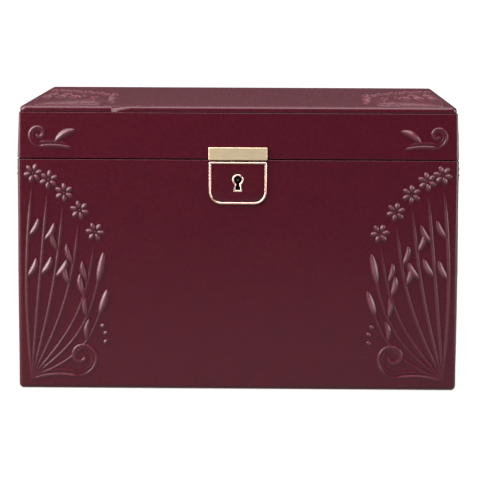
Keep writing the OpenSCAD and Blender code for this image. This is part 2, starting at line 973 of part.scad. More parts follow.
base_front_board();
base_back_board();
base_left_board();
base_right_board();
base_floor_board();
base_front_leather();
base_back_leather();
base_left_leather();
base_right_leather();
base_bottom_cover();
base_front_lining();
base_back_lining();
base_left_lining();
base_right_lining();
base_floor_lining();
upper_ledges();
lower_ledges();
long_divider();
cross_dividers();
left_hinge_base_leaf();
right_hinge_base_leaf();
hinge_pins();
hinge_base_screws();
lock_case();
lock_cover();
lock_screws();
bolt_spring();
key_post();
escutcheon_frame();
escutcheon_inlay();
keyhole_rim();
lock_bolt();
lid_front_board();
lid_back_board();
lid_left_board();
lid_right_board();
lid_top_board();
lid_front_leather();
lid_back_leather();
lid_left_leather();
lid_right_leather();
lid_top_panel();
lid_lining();
mirror_glass();
mirror_frame();
left_hinge_lid_leaf();
right_hinge_lid_leaf();
hinge_lid_screws();
lid_plate();
lid_keeper();
keeper_screws();
upper_tray_floor();
upper_tray_rim();
ring_rolls();
upper_tray_tab();
lower_tray_floor();
lower_tray_rim();
lower_tray_dividers();
lower_tray_tab();
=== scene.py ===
"""Looks of a leather jewellery case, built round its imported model.

The case stands on z = 0 with its front to -Y. Lengths in the settings are in metres, and those of
the ornament are in millimetres.
"""

import math

import bpy
import numpy as np
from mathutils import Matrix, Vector


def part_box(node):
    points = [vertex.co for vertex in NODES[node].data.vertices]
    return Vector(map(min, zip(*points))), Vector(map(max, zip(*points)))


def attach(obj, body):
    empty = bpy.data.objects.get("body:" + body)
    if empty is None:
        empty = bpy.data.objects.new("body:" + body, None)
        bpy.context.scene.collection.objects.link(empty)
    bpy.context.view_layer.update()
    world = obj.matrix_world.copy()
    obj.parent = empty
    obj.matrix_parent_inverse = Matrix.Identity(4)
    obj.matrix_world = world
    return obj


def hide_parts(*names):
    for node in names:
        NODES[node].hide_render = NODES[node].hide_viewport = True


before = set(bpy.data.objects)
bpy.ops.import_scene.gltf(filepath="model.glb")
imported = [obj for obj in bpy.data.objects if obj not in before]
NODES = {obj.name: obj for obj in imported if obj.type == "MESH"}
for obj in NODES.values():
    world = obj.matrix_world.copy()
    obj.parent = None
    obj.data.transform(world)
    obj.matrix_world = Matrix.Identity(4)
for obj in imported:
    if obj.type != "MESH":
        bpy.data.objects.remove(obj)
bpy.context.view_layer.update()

bl_info = {
    "name": "Leather Jewellery Case",
    "version": (1, 0, 0),
    "blender": (4, 5, 0),
    "location": "View3D > Sidebar > Jewellery Case",
    "description": "Builds the leather, lining, trays and fittings of a jewellery case",
    "category": "Object",
}

MM = 0.001
FRONT, RIGHT, BACK, LEFT = range(4)
SIDE_NAMES = ("front", "right", "back", "left")


# ---------- sizes read from the frame ----------

CASE_W = 2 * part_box("base_right_leather")[1].x
CASE_D = -2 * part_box("base_front_leather")[0].y
RIM_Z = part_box("base_front_leather")[1].z
SKIRT_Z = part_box("base_front_leather")[0].z
BOARD_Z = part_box("base_front_board")[0].z
LEATHER_T = RIM_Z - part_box("base_front_board")[1].z
BOARD_IN = CASE_D / 2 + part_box("base_front_lining")[0].y
FOOT_W = CASE_D / 2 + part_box("base_front_leather")[1].y
LINING_IN = CASE_D / 2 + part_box("base_front_lining")[1].y
LINING_Z, LIP_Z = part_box("base_front_lining")[0].z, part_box("base_front_lining")[1].z
LID_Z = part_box("lid_front_leather")[0].z
LID_WALL_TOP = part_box("lid_front_leather")[1].z
PANEL_LOW, PANEL_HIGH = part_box("lid_top_panel")
PANEL_INSET = 0.6 * MM
LEAN = PANEL_LOW.x + CASE_W / 2 - PANEL_INSET
LID_WALL_H = LID_WALL_TOP - LID_Z


# ---------- small helpers ----------

def linear(code):
    """An sRGB hex colour as linear red, green, blue and alpha."""
    srgb = np.array([int(code[i:i + 2], 16) for i in (1, 3, 5)]) / 255
    values = np.where(srgb <= 0.04045, srgb / 12.92, ((srgb + 0.055) / 1.055) ** 2.4)
    return (*values.tolist(), 1.0)


def colour_setting(name, description, code):
    """A colour that a user can change, with an sRGB hex default."""
    return bpy.props.FloatVectorProperty(
        name=name, description=description, default=linear(code), size=4, subtype="COLOR",
        min=0, max=1)


def number_setting(name, description, default, **limits):
    """A number that a user can change."""
    return bpy.props.FloatProperty(name=name, description=description, default=default, **limits)


def length_setting(name, description, default):
    """A length that a user can change, in metres."""
    return number_setting(name, description, default, min=0, unit="LENGTH", precision=5)


def add(tree, kind, settings=None, **links):
    """Adds a node. settings holds attributes and socket values, and links its inputs' sources."""
    made = tree.nodes.new("ShaderNode" + kind)
    for name, value in (settings or {}).items():
        if isinstance(name, int) or name in made.inputs:
            made.inputs[name].default_value = value
        else:
            setattr(made, name, value)
    for name, source in links.items():
        found = [s for s in made.inputs if s.enabled and s.identifier.replace(" ", "") == name]
        found = found or [s for s in made.inputs if s.enabled and s.name.replace(" ", "") == name]
        tree.links.new(source, found[0])
    return made


def material(name, shader_values):
    """A new material: its node tree, its shader, and its Object coordinates."""
    made = bpy.data.materials.new(name)
    made.use_nodes = True
    tree = made.node_tree
    shader = tree.nodes["Principled BSDF"]
    for socket, value in shader_values.items():
        shader.inputs[socket].default_value = value
    place = add(tree, "TexCoord").outputs["Object"]
    return made, tree, shader, place


def mottled(tree, shader, place, colours, size, socket="Base Color"):
    """Noise of a real size that mixes two colours into a socket. It returns the mixed colour."""
    noise = add(tree, "TexNoise", {"Scale": 1 / size, "Detail": 4.0, "Roughness": 0.6},
                Vector=place)
    ramp = add(tree, "ValToRGB", Fac=noise.outputs["Fac"])
    low, high = ramp.color_ramp.elements
    low.position, high.position = 0.3, 0.7
    low.color, high.color = colours
    tree.links.new(ramp.outputs["Color"], shader.inputs[socket])
    return ramp.outputs["Color"]


def roughened(tree, shader, place, low, high, size):
    """Noise of a real size that carries the roughness between two values."""
    noise = add(tree, "TexNoise", {"Scale": 1 / size, "Detail": 3.0}, Vector=place)
    spread = add(tree, "MapRange", {"From Min": 0.3, "From Max": 0.7, "To Min": low,
                                    "To Max": high}, Value=noise.outputs["Fac"])
    tree.links.new(spread.outputs["Result"], shader.inputs["Roughness"])


def shade(dark, factor):
    """A linear colour made darker or lighter."""
    return (*[min(1.0, c * factor) for c in dark[:3]], 1.0)


# ---------- meshes ----------

def linked(name, data):
    """A new object in the scene."""
    made = bpy.data.objects.new(name, data)
    bpy.context.scene.collection.objects.link(made)
    return made


def plain(name, points, faces):
    """A new object from points and faces."""
    mesh = bpy.data.meshes.new(name)
    mesh.from_pydata(np.asarray(points).reshape(-1, 3).tolist(), [], faces)
    return linked(name, mesh)


def places(mesh):
    """The places of a mesh's points, a row each."""
    found = np.zeros(len(mesh.vertices) * 3)
    mesh.vertices.foreach_get("co", found)
    return found.reshape(-1, 3)


def piece(name, points, faces, finish, body, replaces=(), flat_ends=0, relief=None):
    """A mesh piece that rides on a body. Its last flat_ends faces have sharp edges, and relief is
    a value for each point, from 0 to 1, that the leather's finish reads."""
    made = plain(name, points, faces)
    mesh = made.data
    mesh.validate()
    mesh.shade_smooth()
    if relief is not None:
        mesh.attributes.new("relief", "FLOAT", "POINT").data.foreach_set(
            "value", np.asarray(relief, np.float32).ravel())
    if flat_ends:
        starts = np.zeros(len(mesh.polygons), int)
        mesh.polygons.foreach_get("loop_start", starts)
        edges = np.zeros(len(mesh.loops), int)
        mesh.loops.foreach_get("edge_index", edges)
        sharp = np.zeros(len(mesh.edges), bool)
        sharp[edges[starts[len(starts) - flat_ends]:]] = True
        mesh.attributes.new("sharp_edge", "BOOLEAN", "EDGE").data.foreach_set("value", sharp)
    return dressed(made, finish, body, replaces)


def dressed(made, finish, body, replaces=()):
    """Gives a piece its finish, body and slot, and hides the CAD nodes that it stands for."""
    made.data.materials.clear()
    made.data.materials.append(finish)
    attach(made, body)
    if replaces:
        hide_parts(*replaces)
    return made


def quads(rows, columns, wrap_rows=False, wrap_columns=False):
    """Faces of a grid of points stored row by row, joined round where it wraps."""
    index = np.arange(rows * columns).reshape(rows, columns)
    if wrap_rows:
        index = np.vstack([index, index[:1]])
    if wrap_columns:
        index = np.hstack([index, index[:, :1]])
    corners = [index[:-1, :-1], index[:-1, 1:], index[1:, 1:], index[1:, :-1]]
    return np.stack(corners, -1).reshape(-1, 4).tolist()


def ring_faces(count, around):
    """Faces of a solid through rings of points: its side, then its first and its last end."""
    last = (count - 1) * around
    return quads(count, around, wrap_columns=True) + [
        list(range(around))[::-1], list(range(last, last + around))]


def rings_piece(name, rings, finish, body, replaces=(), tube=False):
    """A closed solid through rings of points, each with as many points as the next. The first and
    last rings are closed by flat faces, or joined to each other where it is a tube."""
    rings = np.asarray(rings)
    count, around = rings.shape[:2]
    faces = quads(count, around, True, True) if tube else ring_faces(count, around)
    centre = rings.reshape(-1, 3).mean(0)
    made = piece(name, rings, faces, finish, body, replaces, flat_ends=0 if tube else 2)
    turn_outwards(made, centre)
    return made


def turn_outwards(made, centre):
    """Turns every face round where the mesh's signed volume about a point is negative."""
    mesh = made.data
    mesh.calc_loop_triangles()
    corners = np.zeros(len(mesh.loop_triangles) * 3, int)
    mesh.loop_triangles.foreach_get("vertices", corners)
    a, b, c = (places(mesh) - centre)[corners.reshape(-1, 3)].transpose(1, 0, 2)
    if np.einsum("ij,ij->i", a, np.cross(b, c)).sum() < 0:
        mesh.flip_normals()


def arc(centre, radius, start, stop, count):
    """Points on an arc in a plane, from one angle in degrees to another."""
    angle = np.radians(np.linspace(start, stop, count))
    return np.stack([centre[0] + radius * np.cos(angle), centre[1] + radius * np.sin(angle)], 1)


def softened(node, finish, body, width, segments=2):
    """A copy of a CAD node whose faces are joined and whose edges are rounded by a bevel."""
    made = linked(node + "_covered", NODES[node].data.copy())
    weld = made.modifiers.new("joined", "WELD")
    weld.merge_threshold = 0.01 * MM
    flat = made.modifiers.new("flat faces", "DECIMATE")
    flat.decimate_type = "DISSOLVE"
    flat.angle_limit = math.radians(1)
    bevel = made.modifiers.new("soft edges", "BEVEL")
    bevel.width = width
    bevel.segments = segments
    bevel.angle_limit = math.radians(35)
    bevel.use_clamp_overlap = True
    settle(made)
    made.data.shade_smooth()
    made.data.set_sharp_from_angle(angle=math.radians(50))
    return dressed(made, finish, body, (node,))


def settle(made):
    """Replaces an object's mesh by what its modifiers make of it."""
    bpy.context.view_layer.update()
    result = made.evaluated_get(bpy.context.evaluated_depsgraph_get())
    mesh = bpy.data.meshes.new_from_object(result)
    made.modifiers.clear()
    made.data = mesh


def cut_out(made, *cutters):
    """Cuts closed cutter objects out of a piece, and removes them."""
    for cutter in cutters:
        cut = made.modifiers.new("cut", "BOOLEAN")
        cut.operation = "DIFFERENCE"
        cut.solver = "EXACT"
        cut.object = cutter
    settle(made)
    for cutter in cutters:
        bpy.data.objects.remove(cutter)


def box_cutter(low, high):
    """A box between two corners, for cutting."""
    low, high = np.array(low), np.array(high)
    grid = np.array([[x, y, z] for x in (0, 1) for y in (0, 1) for z in (0, 1)])
    faces = [(0, 1, 3, 2), (4, 6, 7, 5), (0, 4, 5, 1), (2, 3, 7, 6), (0, 2, 6, 4), (1, 5, 7, 3)]
    return plain("cutter", low + grid * (high - low), faces)


# ---------- the raised ornament ----------

# A plain spray of flowers with a scroll at its foot, worked out by formula from a few given
# places. A place is a distance in from the upright edge and a height above the foot, and all
# lengths here are in millimetres.
SPRAY_FOOT = (9, 8)
FLOWER_STEMS = 5
BUD_HEADS = ((57, 86), (59, 62))
PETALS = 6
SCROLL_CENTRE, SCROLL_R = (43, 23), 14
BERRIES = ((58, 44), (60, 39), (60, 33))
LID_SCROLL_CENTRE, LID_SCROLL_R = (15, 16.5), 8.5
ZONE_W, ZONE_H = 64, 160
MAP_STEP = 0.25
FULL_HALF = 1.2  # half the width of a ridge that stands at its full height
LEAF_ANGLE = 26
LEAF_START, LEAF_END = 2, 15
PETAL_START, PETAL_END = 2.1, 6.0


def bowed(start, end, bow=0.0):
    """A stem: a straight run between two places, set aside by bow times a half sine."""
    share = np.linspace(0, 1, 36)[:, None]
    start, run = np.array(start, float), np.subtract(end, start)
    aside = np.array([-run[1], run[0]]) / np.hypot(*run)
    return start + run * share + aside * bow * np.sin(np.pi * share)


def scroll(centre, radius, turns, first, hand):
    """A scroll: a spiral whose radius shrinks by equal ratios to a fifth of its first."""
    share = np.linspace(0, 1, 48)
    angle = np.radians(first) + hand * 2 * np.pi * turns * share
    reach = radius * 0.2 ** share
    return np.stack([centre[0] + reach * np.cos(angle), centre[1] + reach * np.sin(angle)], 1)


def turned(way, degrees):
    """A direction turned anticlockwise."""
    c, s = math.cos(math.radians(degrees)), math.sin(math.radians(degrees))
    return np.array([way[0] * c - way[1] * s, way[0] * s + way[1] * c])


def leaf(line, share, side):
    """A leaf that leaves a stem part of the way along, turned to one side of it."""
    at = int(share * (len(line) - 1))
    way = line[at + 1] - line[at]
    way = turned(way / np.hypot(*way), LEAF_ANGLE * side)
    return bowed(line[at] + way * LEAF_START, line[at] + way * LEAF_END, 1.2 * side)


def spray_strokes():
    """The corner's strokes, each with its line, its width and whether it swells: stems that fan
    out from the foot to flowers and buds, leaves on them, and a double scroll."""
    strokes = []
    for share in np.linspace(0, 1, FLOWER_STEMS):
        head = np.array([11 + 42 * share, 149 - 40 * share ** 1.6])
        stem = bowed(SPRAY_FOOT, head, 4 - 15 * share)
        strokes.append((stem[:-3], 2.4 - 0.5 * share, False))
        side = -1 if share < 0.6 else 1
        strokes.append((leaf(stem, 0.5 + 0.12 * share, side), 4.4, True))
        strokes.append((leaf(stem, 0.7, -1 if share < 0.3 else 1), 3.8, True))
        strokes += flower_strokes(head)
    for head in BUD_HEADS:
        stem = bowed(SPRAY_FOOT, head, -11)
        strokes += [(stem, 1.8, False), (leaf(stem, 0.6, 1), 3.8, True),
                    (bowed(stem[-5], stem[-1] + (stem[-1] - stem[-4])), 4.8, True)]
    x, z = SCROLL_CENTRE
    for inner, width in ((0, 2.4), (3.2, 1.5)):
        radius = SCROLL_R - inner
        strokes += [(bowed((9 + inner, 7 + inner), (x - 2, z - radius), 2), width, False),
                    (scroll(SCROLL_CENTRE, radius, 1.3, 262, 1), width, False)]
    strokes += [(bowed(np.array(berry) - 0.8, np.array(berry) + 0.8), 3.2, True)
                for berry in BERRIES]
    return strokes


def flower_strokes(head):
    """Petals set evenly round a small eye."""
    strokes = [(bowed(head - [0.6, 0], head + [0.6, 0]), 2.0, True)]
    for turn in np.arange(PETALS) * 360 / PETALS + head[0]:
        way = turned((1, 0), turn)
        strokes.append((bowed(head + way * PETAL_START, head + way * PETAL_END), 3.5, True))
    return strokes


def lid_strokes():
    """A small double scroll with a leaf, for the lid's corners."""
    x, z = LID_SCROLL_CENTRE
    strokes = []
    for inner, width in ((0, 2.2), (2.6, 1.5)):
        radius = LID_SCROLL_R - inner
        strokes += [(bowed((37 - inner, z - radius - 1), (x, z - radius), -1), width, False),
                    (scroll(LID_SCROLL_CENTRE, radius, 1.2, 270, -1), width, False)]
    strokes.append((bowed((27, 12), (39, 19), 1.5), 4.6, True))
    return strokes


def add_ridge(relief, line, width, swell):
    """Raises a map along a line. The section is a low roof with a rounded top: height falls evenly
    from the line to half the line's width, so every flank has the same slope. The width thins
    towards both ends, or follows a half sine where it is a bud."""
    reach = width
    low = np.maximum(((line.min(0) - reach) / MAP_STEP).astype(int), 0)
    high = ((line.max(0) + reach) / MAP_STEP).astype(int) + 2
    part = relief[low[1]:high[1], low[0]:high[0]]
    across, up = np.meshgrid((low[0] + np.arange(part.shape[1])) * MAP_STEP,
                             (low[1] + np.arange(part.shape[0])) * MAP_STEP)
    for i in range(len(line) - 1):
        run = line[i + 1] - line[i]
        share = ((across - line[i, 0]) * run[0] + (up - line[i, 1]) * run[1]) / (run @ run)
        share = np.clip(share, 0, 1)
        along = (i + share) / (len(line) - 1)
        if swell:
            half = width / 2 * np.sqrt(np.sin(np.pi * (0.08 + 0.88 * along)))
        else:
            half = width / 2 * np.minimum(1, 0.5 + 4 * np.minimum(along, 1 - along))
        far = np.hypot(across - line[i, 0] - share * run[0], up - line[i, 1] - share * run[1])
        height = np.clip(1.04 - np.hypot(far / half, 0.2), 0, 1) * half / FULL_HALF
        np.maximum(part, height, out=part)


def relief_map(strokes):
    """Heights of an ornament from 0 to 1 on a fine grid, row by row from the foot up."""
    relief = np.zeros((int(ZONE_H / MAP_STEP) + 1, int(ZONE_W / MAP_STEP) + 1))
    for line, width, swell in strokes:
        add_ridge(relief, line, width, swell)
    return relief


def sampled(relief, across, up):
    """The map's height between its points, by a weighted mean of the four round each place."""
    x = np.clip(across / MM / MAP_STEP, 0, relief.shape[1] - 1.001)
    z = np.clip(up / MM / MAP_STEP, 0, relief.shape[0] - 1.001)
    i, j = x.astype(int), z.astype(int)
    u, v = x - i, z - j
    return ((relief[j, i] * (1 - u) + relief[j, i + 1] * u) * (1 - v)
            + (relief[j + 1, i] * (1 - u) + relief[j + 1, i + 1] * u) * v)


# ---------- leather on the walls ----------

SIDE_RIDGE = 0.8  # height of the ornament on the base's other walls, as a share of the front's


def half_length(side):
    """Half the length of one side of the case."""
    return (CASE_W if side % 2 == 0 else CASE_D) / 2


def wall_columns(half, radius, zone, step):
    """Columns of a wall: places along it and angles round the corners. They are close together in
    the ornament's zone at either end and far apart between."""
    turn = np.radians(np.linspace(45, 0, 7))
    fine = np.arange(radius + 0.3 * MM, zone, step)
    middle = np.linspace(zone, 2 * half - zone, 14)
    straight = np.concatenate([[radius], fine, middle, 2 * half - fine[::-1],
                               [2 * half - radius]]) - half
    x = np.concatenate([np.full(6, -(half - radius)), straight, np.full(6, half - radius)])
    angle = np.concatenate([-turn[:-1], np.zeros(len(straight)), turn[-2::-1]])
    return x, angle


def carried(side, profile, columns, radius, proud=None):
    """Points of a closed profile carried along one wall. The profile holds distances in from the
    case's outer face and heights. At a distance in, the corner's radius is less by that distance,
    and proud is how far each point stands out of its wall."""
    half, off = (CASE_W, CASE_D) if side % 2 == 0 else (CASE_D, CASE_W)
    half, off = half / 2, off / 2
    x, angle = columns
    inset = profile[:, 0][:, None]
    bend = np.maximum(radius - inset, 0.02 * MM)
    proud = 0 if proud is None else proud
    px = x * (half - inset - bend) / (half - radius) + (bend + proud) * np.sin(angle)
    py = -(off - inset - bend) - (bend + proud) * np.cos(angle)
    pz = np.broadcast_to(profile[:, 1][:, None], px.shape)
    turn = np.radians(90 * side)
    return np.stack([px * np.cos(turn) - py * np.sin(turn),
                     px * np.sin(turn) + py * np.cos(turn), pz], -1)


def wall_piece(name, side, profile, columns, radius, finish, body, node, proud=None,
               relief=None):
    """A closed piece along one wall, with a flat mitre at both ends."""
    points = carried(side, profile, columns, radius, proud)
    rows, across = points.shape[:2]
    faces = quads(rows, across, wrap_rows=True)
    faces.append([i * across for i in range(rows)])
    faces.append([i * across + across - 1 for i in range(rows)][::-1])
    made = piece(name, points, faces, finish, body, (node,), flat_ends=2, relief=relief)
    turn_outwards(made, points.reshape(-1, 3).mean(0))
    return made


def ornamented(side, profile, wall_rows, columns, relief, foot_z, ridge):
    """How far each point of a wall stands out, and its relief from 0 to 1."""
    lift = np.zeros((len(profile), len(columns[0])))
    in_from_edge = half_length(side) - np.abs(columns[0])
    up = profile[wall_rows, 1] - foot_z
    across, up = np.meshgrid(in_from_edge, up)
    lift[wall_rows] = sampled(relief, across, up) * (np.abs(columns[1]) < 0.001)
    return lift * ridge, lift


def cover_walls(body, profile, wall_rows, relief, foot_z, zone, side_ridge, settings, finish):
    """Leather on the four walls of the base or the lid. side_ridge is the share of the ornament's
    height that walls other than the front one have."""
    made = []
    for side, word in enumerate(SIDE_NAMES):
        columns = wall_columns(half_length(side), settings.corner_radius, zone, settings.step)
        proud, lift = ornamented(side, profile, wall_rows, columns, relief, foot_z,
                                 settings.ridge * (1 if side == FRONT else side_ridge))
        made.append(wall_piece(f"{body}_{word}_leather_skin", side, profile, columns,
                               settings.corner_radius, finish, body,
                               f"{body}_{word}_leather", proud, lift))
    return made


def build_base_leather(settings, finish):
    """Leather on the four walls of the base: over the rim, down the wall and in under the foot."""
    rim_r, foot_r = settings.rim_radius, settings.foot_radius
    rim = arc((rim_r, RIM_Z - rim_r), rim_r, 90, 180, 6)
    foot = arc((foot_r, SKIRT_Z + foot_r), foot_r, 180, 270, 9)
    wall = np.arange(RIM_Z - rim_r - settings.step, SKIRT_Z + foot_r, -settings.step)
    wall = np.stack([np.zeros_like(wall), wall], 1)
    inner = [(FOOT_W, SKIRT_Z), (FOOT_W, BOARD_Z), (LEATHER_T, BOARD_Z),
             (LEATHER_T, RIM_Z - LEATHER_T), (BOARD_IN, RIM_Z - LEATHER_T), (BOARD_IN, RIM_Z)]
    profile = np.vstack([rim, wall, foot, inner])
    return cover_walls("base", profile, slice(len(rim), len(rim) + len(wall)),
                       relief_map(spray_strokes()), SKIRT_Z, settings.zone, SIDE_RIDGE, settings,
                       finish)


def build_lid_leather(settings, finish):
    """Leather on the four walls of the lid, which lean in a little as they rise."""
    edge_r = settings.lid_edge_radius
    low_edge = arc((edge_r, LID_Z + edge_r), edge_r, 270, 180, 6)
    z = np.arange(LID_Z + edge_r + settings.step, LID_WALL_TOP - edge_r, settings.step)
    wall = np.stack([np.zeros_like(z), z], 1)
    top_edge = np.vstack([arc((edge_r, LID_WALL_TOP - edge_r), edge_r, 180, 95, 6),
                          [(0.9 * MM, LID_WALL_TOP + 0.05 * MM)]])
    inside, under = BOARD_IN - 0.5 * MM, LID_WALL_TOP - MM
    inner = [(inside, LID_WALL_TOP + 0.06 * MM), (inside, under), (2 * LEATHER_T, under),
             (LEATHER_T, LID_Z + LEATHER_T), (BOARD_IN, LID_Z + LEATHER_T), (BOARD_IN, LID_Z)]
    profile = np.vstack([low_edge, wall, top_edge, inner])
    skin = len(low_edge) + len(wall) + len(top_edge)
    profile[:skin, 0] += LEAN * (profile[:skin, 1] - LID_Z) / LID_WALL_H
    return cover_walls("lid", profile, slice(len(low_edge), len(low_edge) + len(wall)),
                       relief_map(lid_strokes()), LID_Z, settings.lid_zone, 1, settings, finish)


# ---------- pillow-shaped pieces ----------

def rounded_plan(x, y, half_w, half_d, radius, inset):
    """Moves points of a rectangle so that its corners are round. In the square of a corner, a
    point's offset from the corner's centre is scaled so that its length is its larger part."""
    cx, cy = half_w - radius, half_d - radius
    qx, qy = np.abs(x) - cx, np.abs(y) - cy
    corner = (qx > 0) & (qy > 0)
    scale = np.where(corner, np.maximum(qx, qy) / np.maximum(np.hypot(qx, qy), 1e-9), 1)
    return (np.where(corner, np.sign(x) * (cx + qx * scale), x),
            np.where(corner, np.sign(y) * (cy + qy * scale), y))


def pillow(name, low, high, radius, edge, lines_x, lines_y, finish, body, replaces,
           rise=None, relief=None, low_edge=0.0004):
    """A closed slab with round corners in plan and a quarter-round upper edge. lines_x and lines_y
    are places across and along between the edges, measured from the middle, and rise is how far
    each point stands above the slab's top."""
    half_w, half_d = (high.x - low.x) / 2, (high.y - low.y) / 2
    mid_x, mid_y = (high.x + low.x) / 2, (high.y + low.y) / 2
    drop = edge * (1 - np.cos(np.radians(np.linspace(0, 90, 7)[:-1])))
    across = np.concatenate([-half_w + drop, lines_x, half_w - drop[::-1]])
    along = np.concatenate([-half_d + drop, lines_y, half_d - drop[::-1]])
    x, y = np.meshgrid(across, along)
    inset = np.minimum(half_w - np.abs(x), half_d - np.abs(y))
    z = high.z - edge + np.sqrt(np.maximum(edge ** 2 - np.maximum(edge - inset, 0) ** 2, 0))
    if rise is not None:
        z = z + rise(x, y)
    px, py = rounded_plan(x, y, half_w, half_d, radius, inset)
    top = np.stack([px + mid_x, py + mid_y, z], -1)
    rows, columns = x.shape
    index = np.arange(rows * columns).reshape(rows, columns)
    border = np.concatenate([index[0, :-1], index[:-1, -1], index[-1, :0:-1], index[:0:-1, 0]])
    faces = quads(rows, columns)
    outline = top.reshape(-1, 3)[border]
    rings = []
    for depth, shrink in ((low.z + low_edge, 0.0), (low.z, low_edge)):
        ring = outline.copy()
        ring[:, 0] = mid_x + (ring[:, 0] - mid_x) * (1 - shrink / half_w)
        ring[:, 1] = mid_y + (ring[:, 1] - mid_y) * (1 - shrink / half_d)
        ring[:, 2] = depth
        rings.append(ring)
    start = rows * columns
    count = len(border)
    loops = [border, start + np.arange(count), start + count + np.arange(count)]
    for upper, lower in zip(loops[:-1], loops[1:]):
        faces += np.stack([upper, lower, np.roll(lower, -1), np.roll(upper, -1)], -1).tolist()
    faces.append(loops[-1][::-1].tolist())
    points = np.vstack([top.reshape(-1, 3), *rings])
    if relief is not None:
        relief = np.concatenate([relief(x, y).ravel(), np.zeros(2 * count)])
    made = piece(name, points, faces, finish, body, replaces, flat_ends=1, relief=relief)
    turn_outwards(made, points.mean(0))
    return made


def zone_lines(half, edge, zone, step, gap):
    """Places that are close together near both ends and far apart between."""
    fine = np.arange(edge + step, zone, step)
    middle = np.arange(zone, 2 * half - zone, gap)
    return np.concatenate([fine, middle, 2 * half - fine[::-1]]) - half


def build_top_panel(settings, finish):
    """The leather-covered panel on the lid, with the ornament at its front corners. Its points
    are far apart where it is plain."""
    middle_gap, back_gap = 14 * MM, 6 * MM
    low, high = PANEL_LOW, PANEL_HIGH
    half_w, half_d = (high.x - low.x) / 2, (high.y - low.y) / 2
    relief = relief_map(spray_strokes())

    def heights(x, y):
        """The ornament lies along the sides, with its foot at the front."""
        edge = np.minimum(half_w - np.abs(x), half_d - np.abs(y))
        return sampled(relief, half_w - np.abs(x), y + half_d) * np.clip(edge / MM - 1.8, 0, 1)

    def rise(x, y):
        return heights(x, y) * settings.top_ridge

    lines_x = zone_lines(half_w, settings.panel_edge_radius, settings.zone, settings.step,
                         middle_gap)
    lines_y = np.concatenate([np.arange(settings.panel_edge_radius + settings.step, ZONE_H * MM,
                                        1.25 * settings.step),
                              np.arange(ZONE_H * MM, 2 * half_d - settings.panel_edge_radius,
                                        back_gap)]) - half_d
    pillow("lid_top_panel_leather", low, high, settings.panel_corner_radius,
           settings.panel_edge_radius, lines_x, lines_y, finish, "lid",
           ("lid_top_panel",), rise, heights)


# ---------- lock furniture ----------

WALL_Y = -CASE_D / 2


def rounded_outline(width, height, upper_r, lower_r, inset):
    """Outline of a rectangle about its top edge's middle with round corners, brought in by inset,
    anticlockwise from the lower left."""
    w, top, bottom = width / 2 - inset, -inset, -height + inset
    upper, lower = max(upper_r - inset, 0.05 * MM), max(lower_r - inset, 0.05 * MM)
    return np.vstack([arc((-w + lower, bottom + lower), lower, 180, 270, 12),
                      arc((w - lower, bottom + lower), lower, 270, 360, 12),
                      arc((w - upper, top - upper), upper, 0, 90, 8),
                      arc((-w + upper, top - upper), upper, 90, 180, 8)])


def keyhole_outline(hole_r, neck, slot_half, drop, grow):
    """Outline of a keyhole about its round part's middle: an arc, then the sides of a slot that
    widens downwards, then its foot with small round corners."""
    r = hole_r + grow
    lean = math.atan((slot_half - neck) / drop)
    half = math.asin(min(0.95, (neck + grow) / r))
    start = math.degrees(half) - 90
    ring = arc((0, 0), r, start, 180 - start, 40)
    foot, bottom, corner = slot_half + grow, -drop - grow, 0.5 * MM
    left = arc((-foot + corner, bottom + corner), corner, 180 + math.degrees(lean), 270, 6)
    right = arc((foot - corner, bottom + corner), corner, 270, 360 - math.degrees(lean), 6)
    return np.vstack([ring, left, right])


def standing(outline, y, top_z):
    """An outline drawn in X and Z, stood up at a place on the front."""
    return np.stack([outline[:, 0], np.full(len(outline), y), outline[:, 1] + top_z], 1)


def refined(outline, count):
    """A closed outline with each of its runs split into count."""
    dense = np.vstack([outline, outline[:1]])
    return np.vstack([np.linspace(a, b, count, endpoint=False) for a, b in zip(dense, dense[1:])])


def rim_section(depth):
    """Section of a rounded rim: shares of its width, and how far out each point stands."""
    return zip((0, 0, 0.2, 0.5, 0.8, 1, 1),
               (-0.2 * MM, 0.6 * depth, 0.92 * depth, depth, 0.92 * depth, 0.6 * depth,
                -0.2 * MM))


def build_plate(gilt):
    """The plate on the lid, which leans with the lid's wall."""
    low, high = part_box("lid_plate")
    lean = LEAN / LID_WALL_H
    thick = 1.5 * MM
    rings = []
    for depth, inset in ((-0.3 * MM, 0), (thick - 0.25 * MM, 0), (thick - 0.07 * MM, 0.08 * MM),
                         (thick, 0.25 * MM), (thick, 0.6 * MM)):
        ring = rounded_outline(high.x - low.x, high.z - low.z, 0.5 * MM, 0.5 * MM, inset)
        ring = standing(ring, WALL_Y - depth, high.z)
        ring[:, 1] += (ring[:, 2] - LID_Z) * lean
        rings.append(ring)
    rings_piece("lid_plate_gilt", rings, gilt, "lid", ("lid_plate",))


def shield_outline(settings, inset):
    """Outline of the shield, brought in by inset, about its top edge's middle."""
    low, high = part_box("escutcheon_frame")
    return rounded_outline(high.x - low.x, high.z - low.z, 0.9 * MM, settings.shield_radius, inset)


def build_shield_frame(settings, rose):
    """The shield's frame, a rounded rim."""
    low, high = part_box("escutcheon_frame")
    rings = [standing(shield_outline(settings, settings.shield_rim * share), WALL_Y - out, high.z)
             for share, out in rim_section(WALL_Y - low.y)]
    rings_piece("escutcheon_frame_gilt", rings, rose, "base",
                ("escutcheon_frame",), tube=True)


def keyhole_shape(settings):
    """Radius, slot sizes and height of the keyhole, from its rim in the frame."""
    low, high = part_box("keyhole_rim")
    grow = settings.keyhole_rim
    hole_r = (high.x - low.x) / 2 - grow
    centre_z = high.z - hole_r - grow
    return (hole_r, settings.keyhole_neck, settings.keyhole_foot,
            centre_z - low.z - grow), centre_z


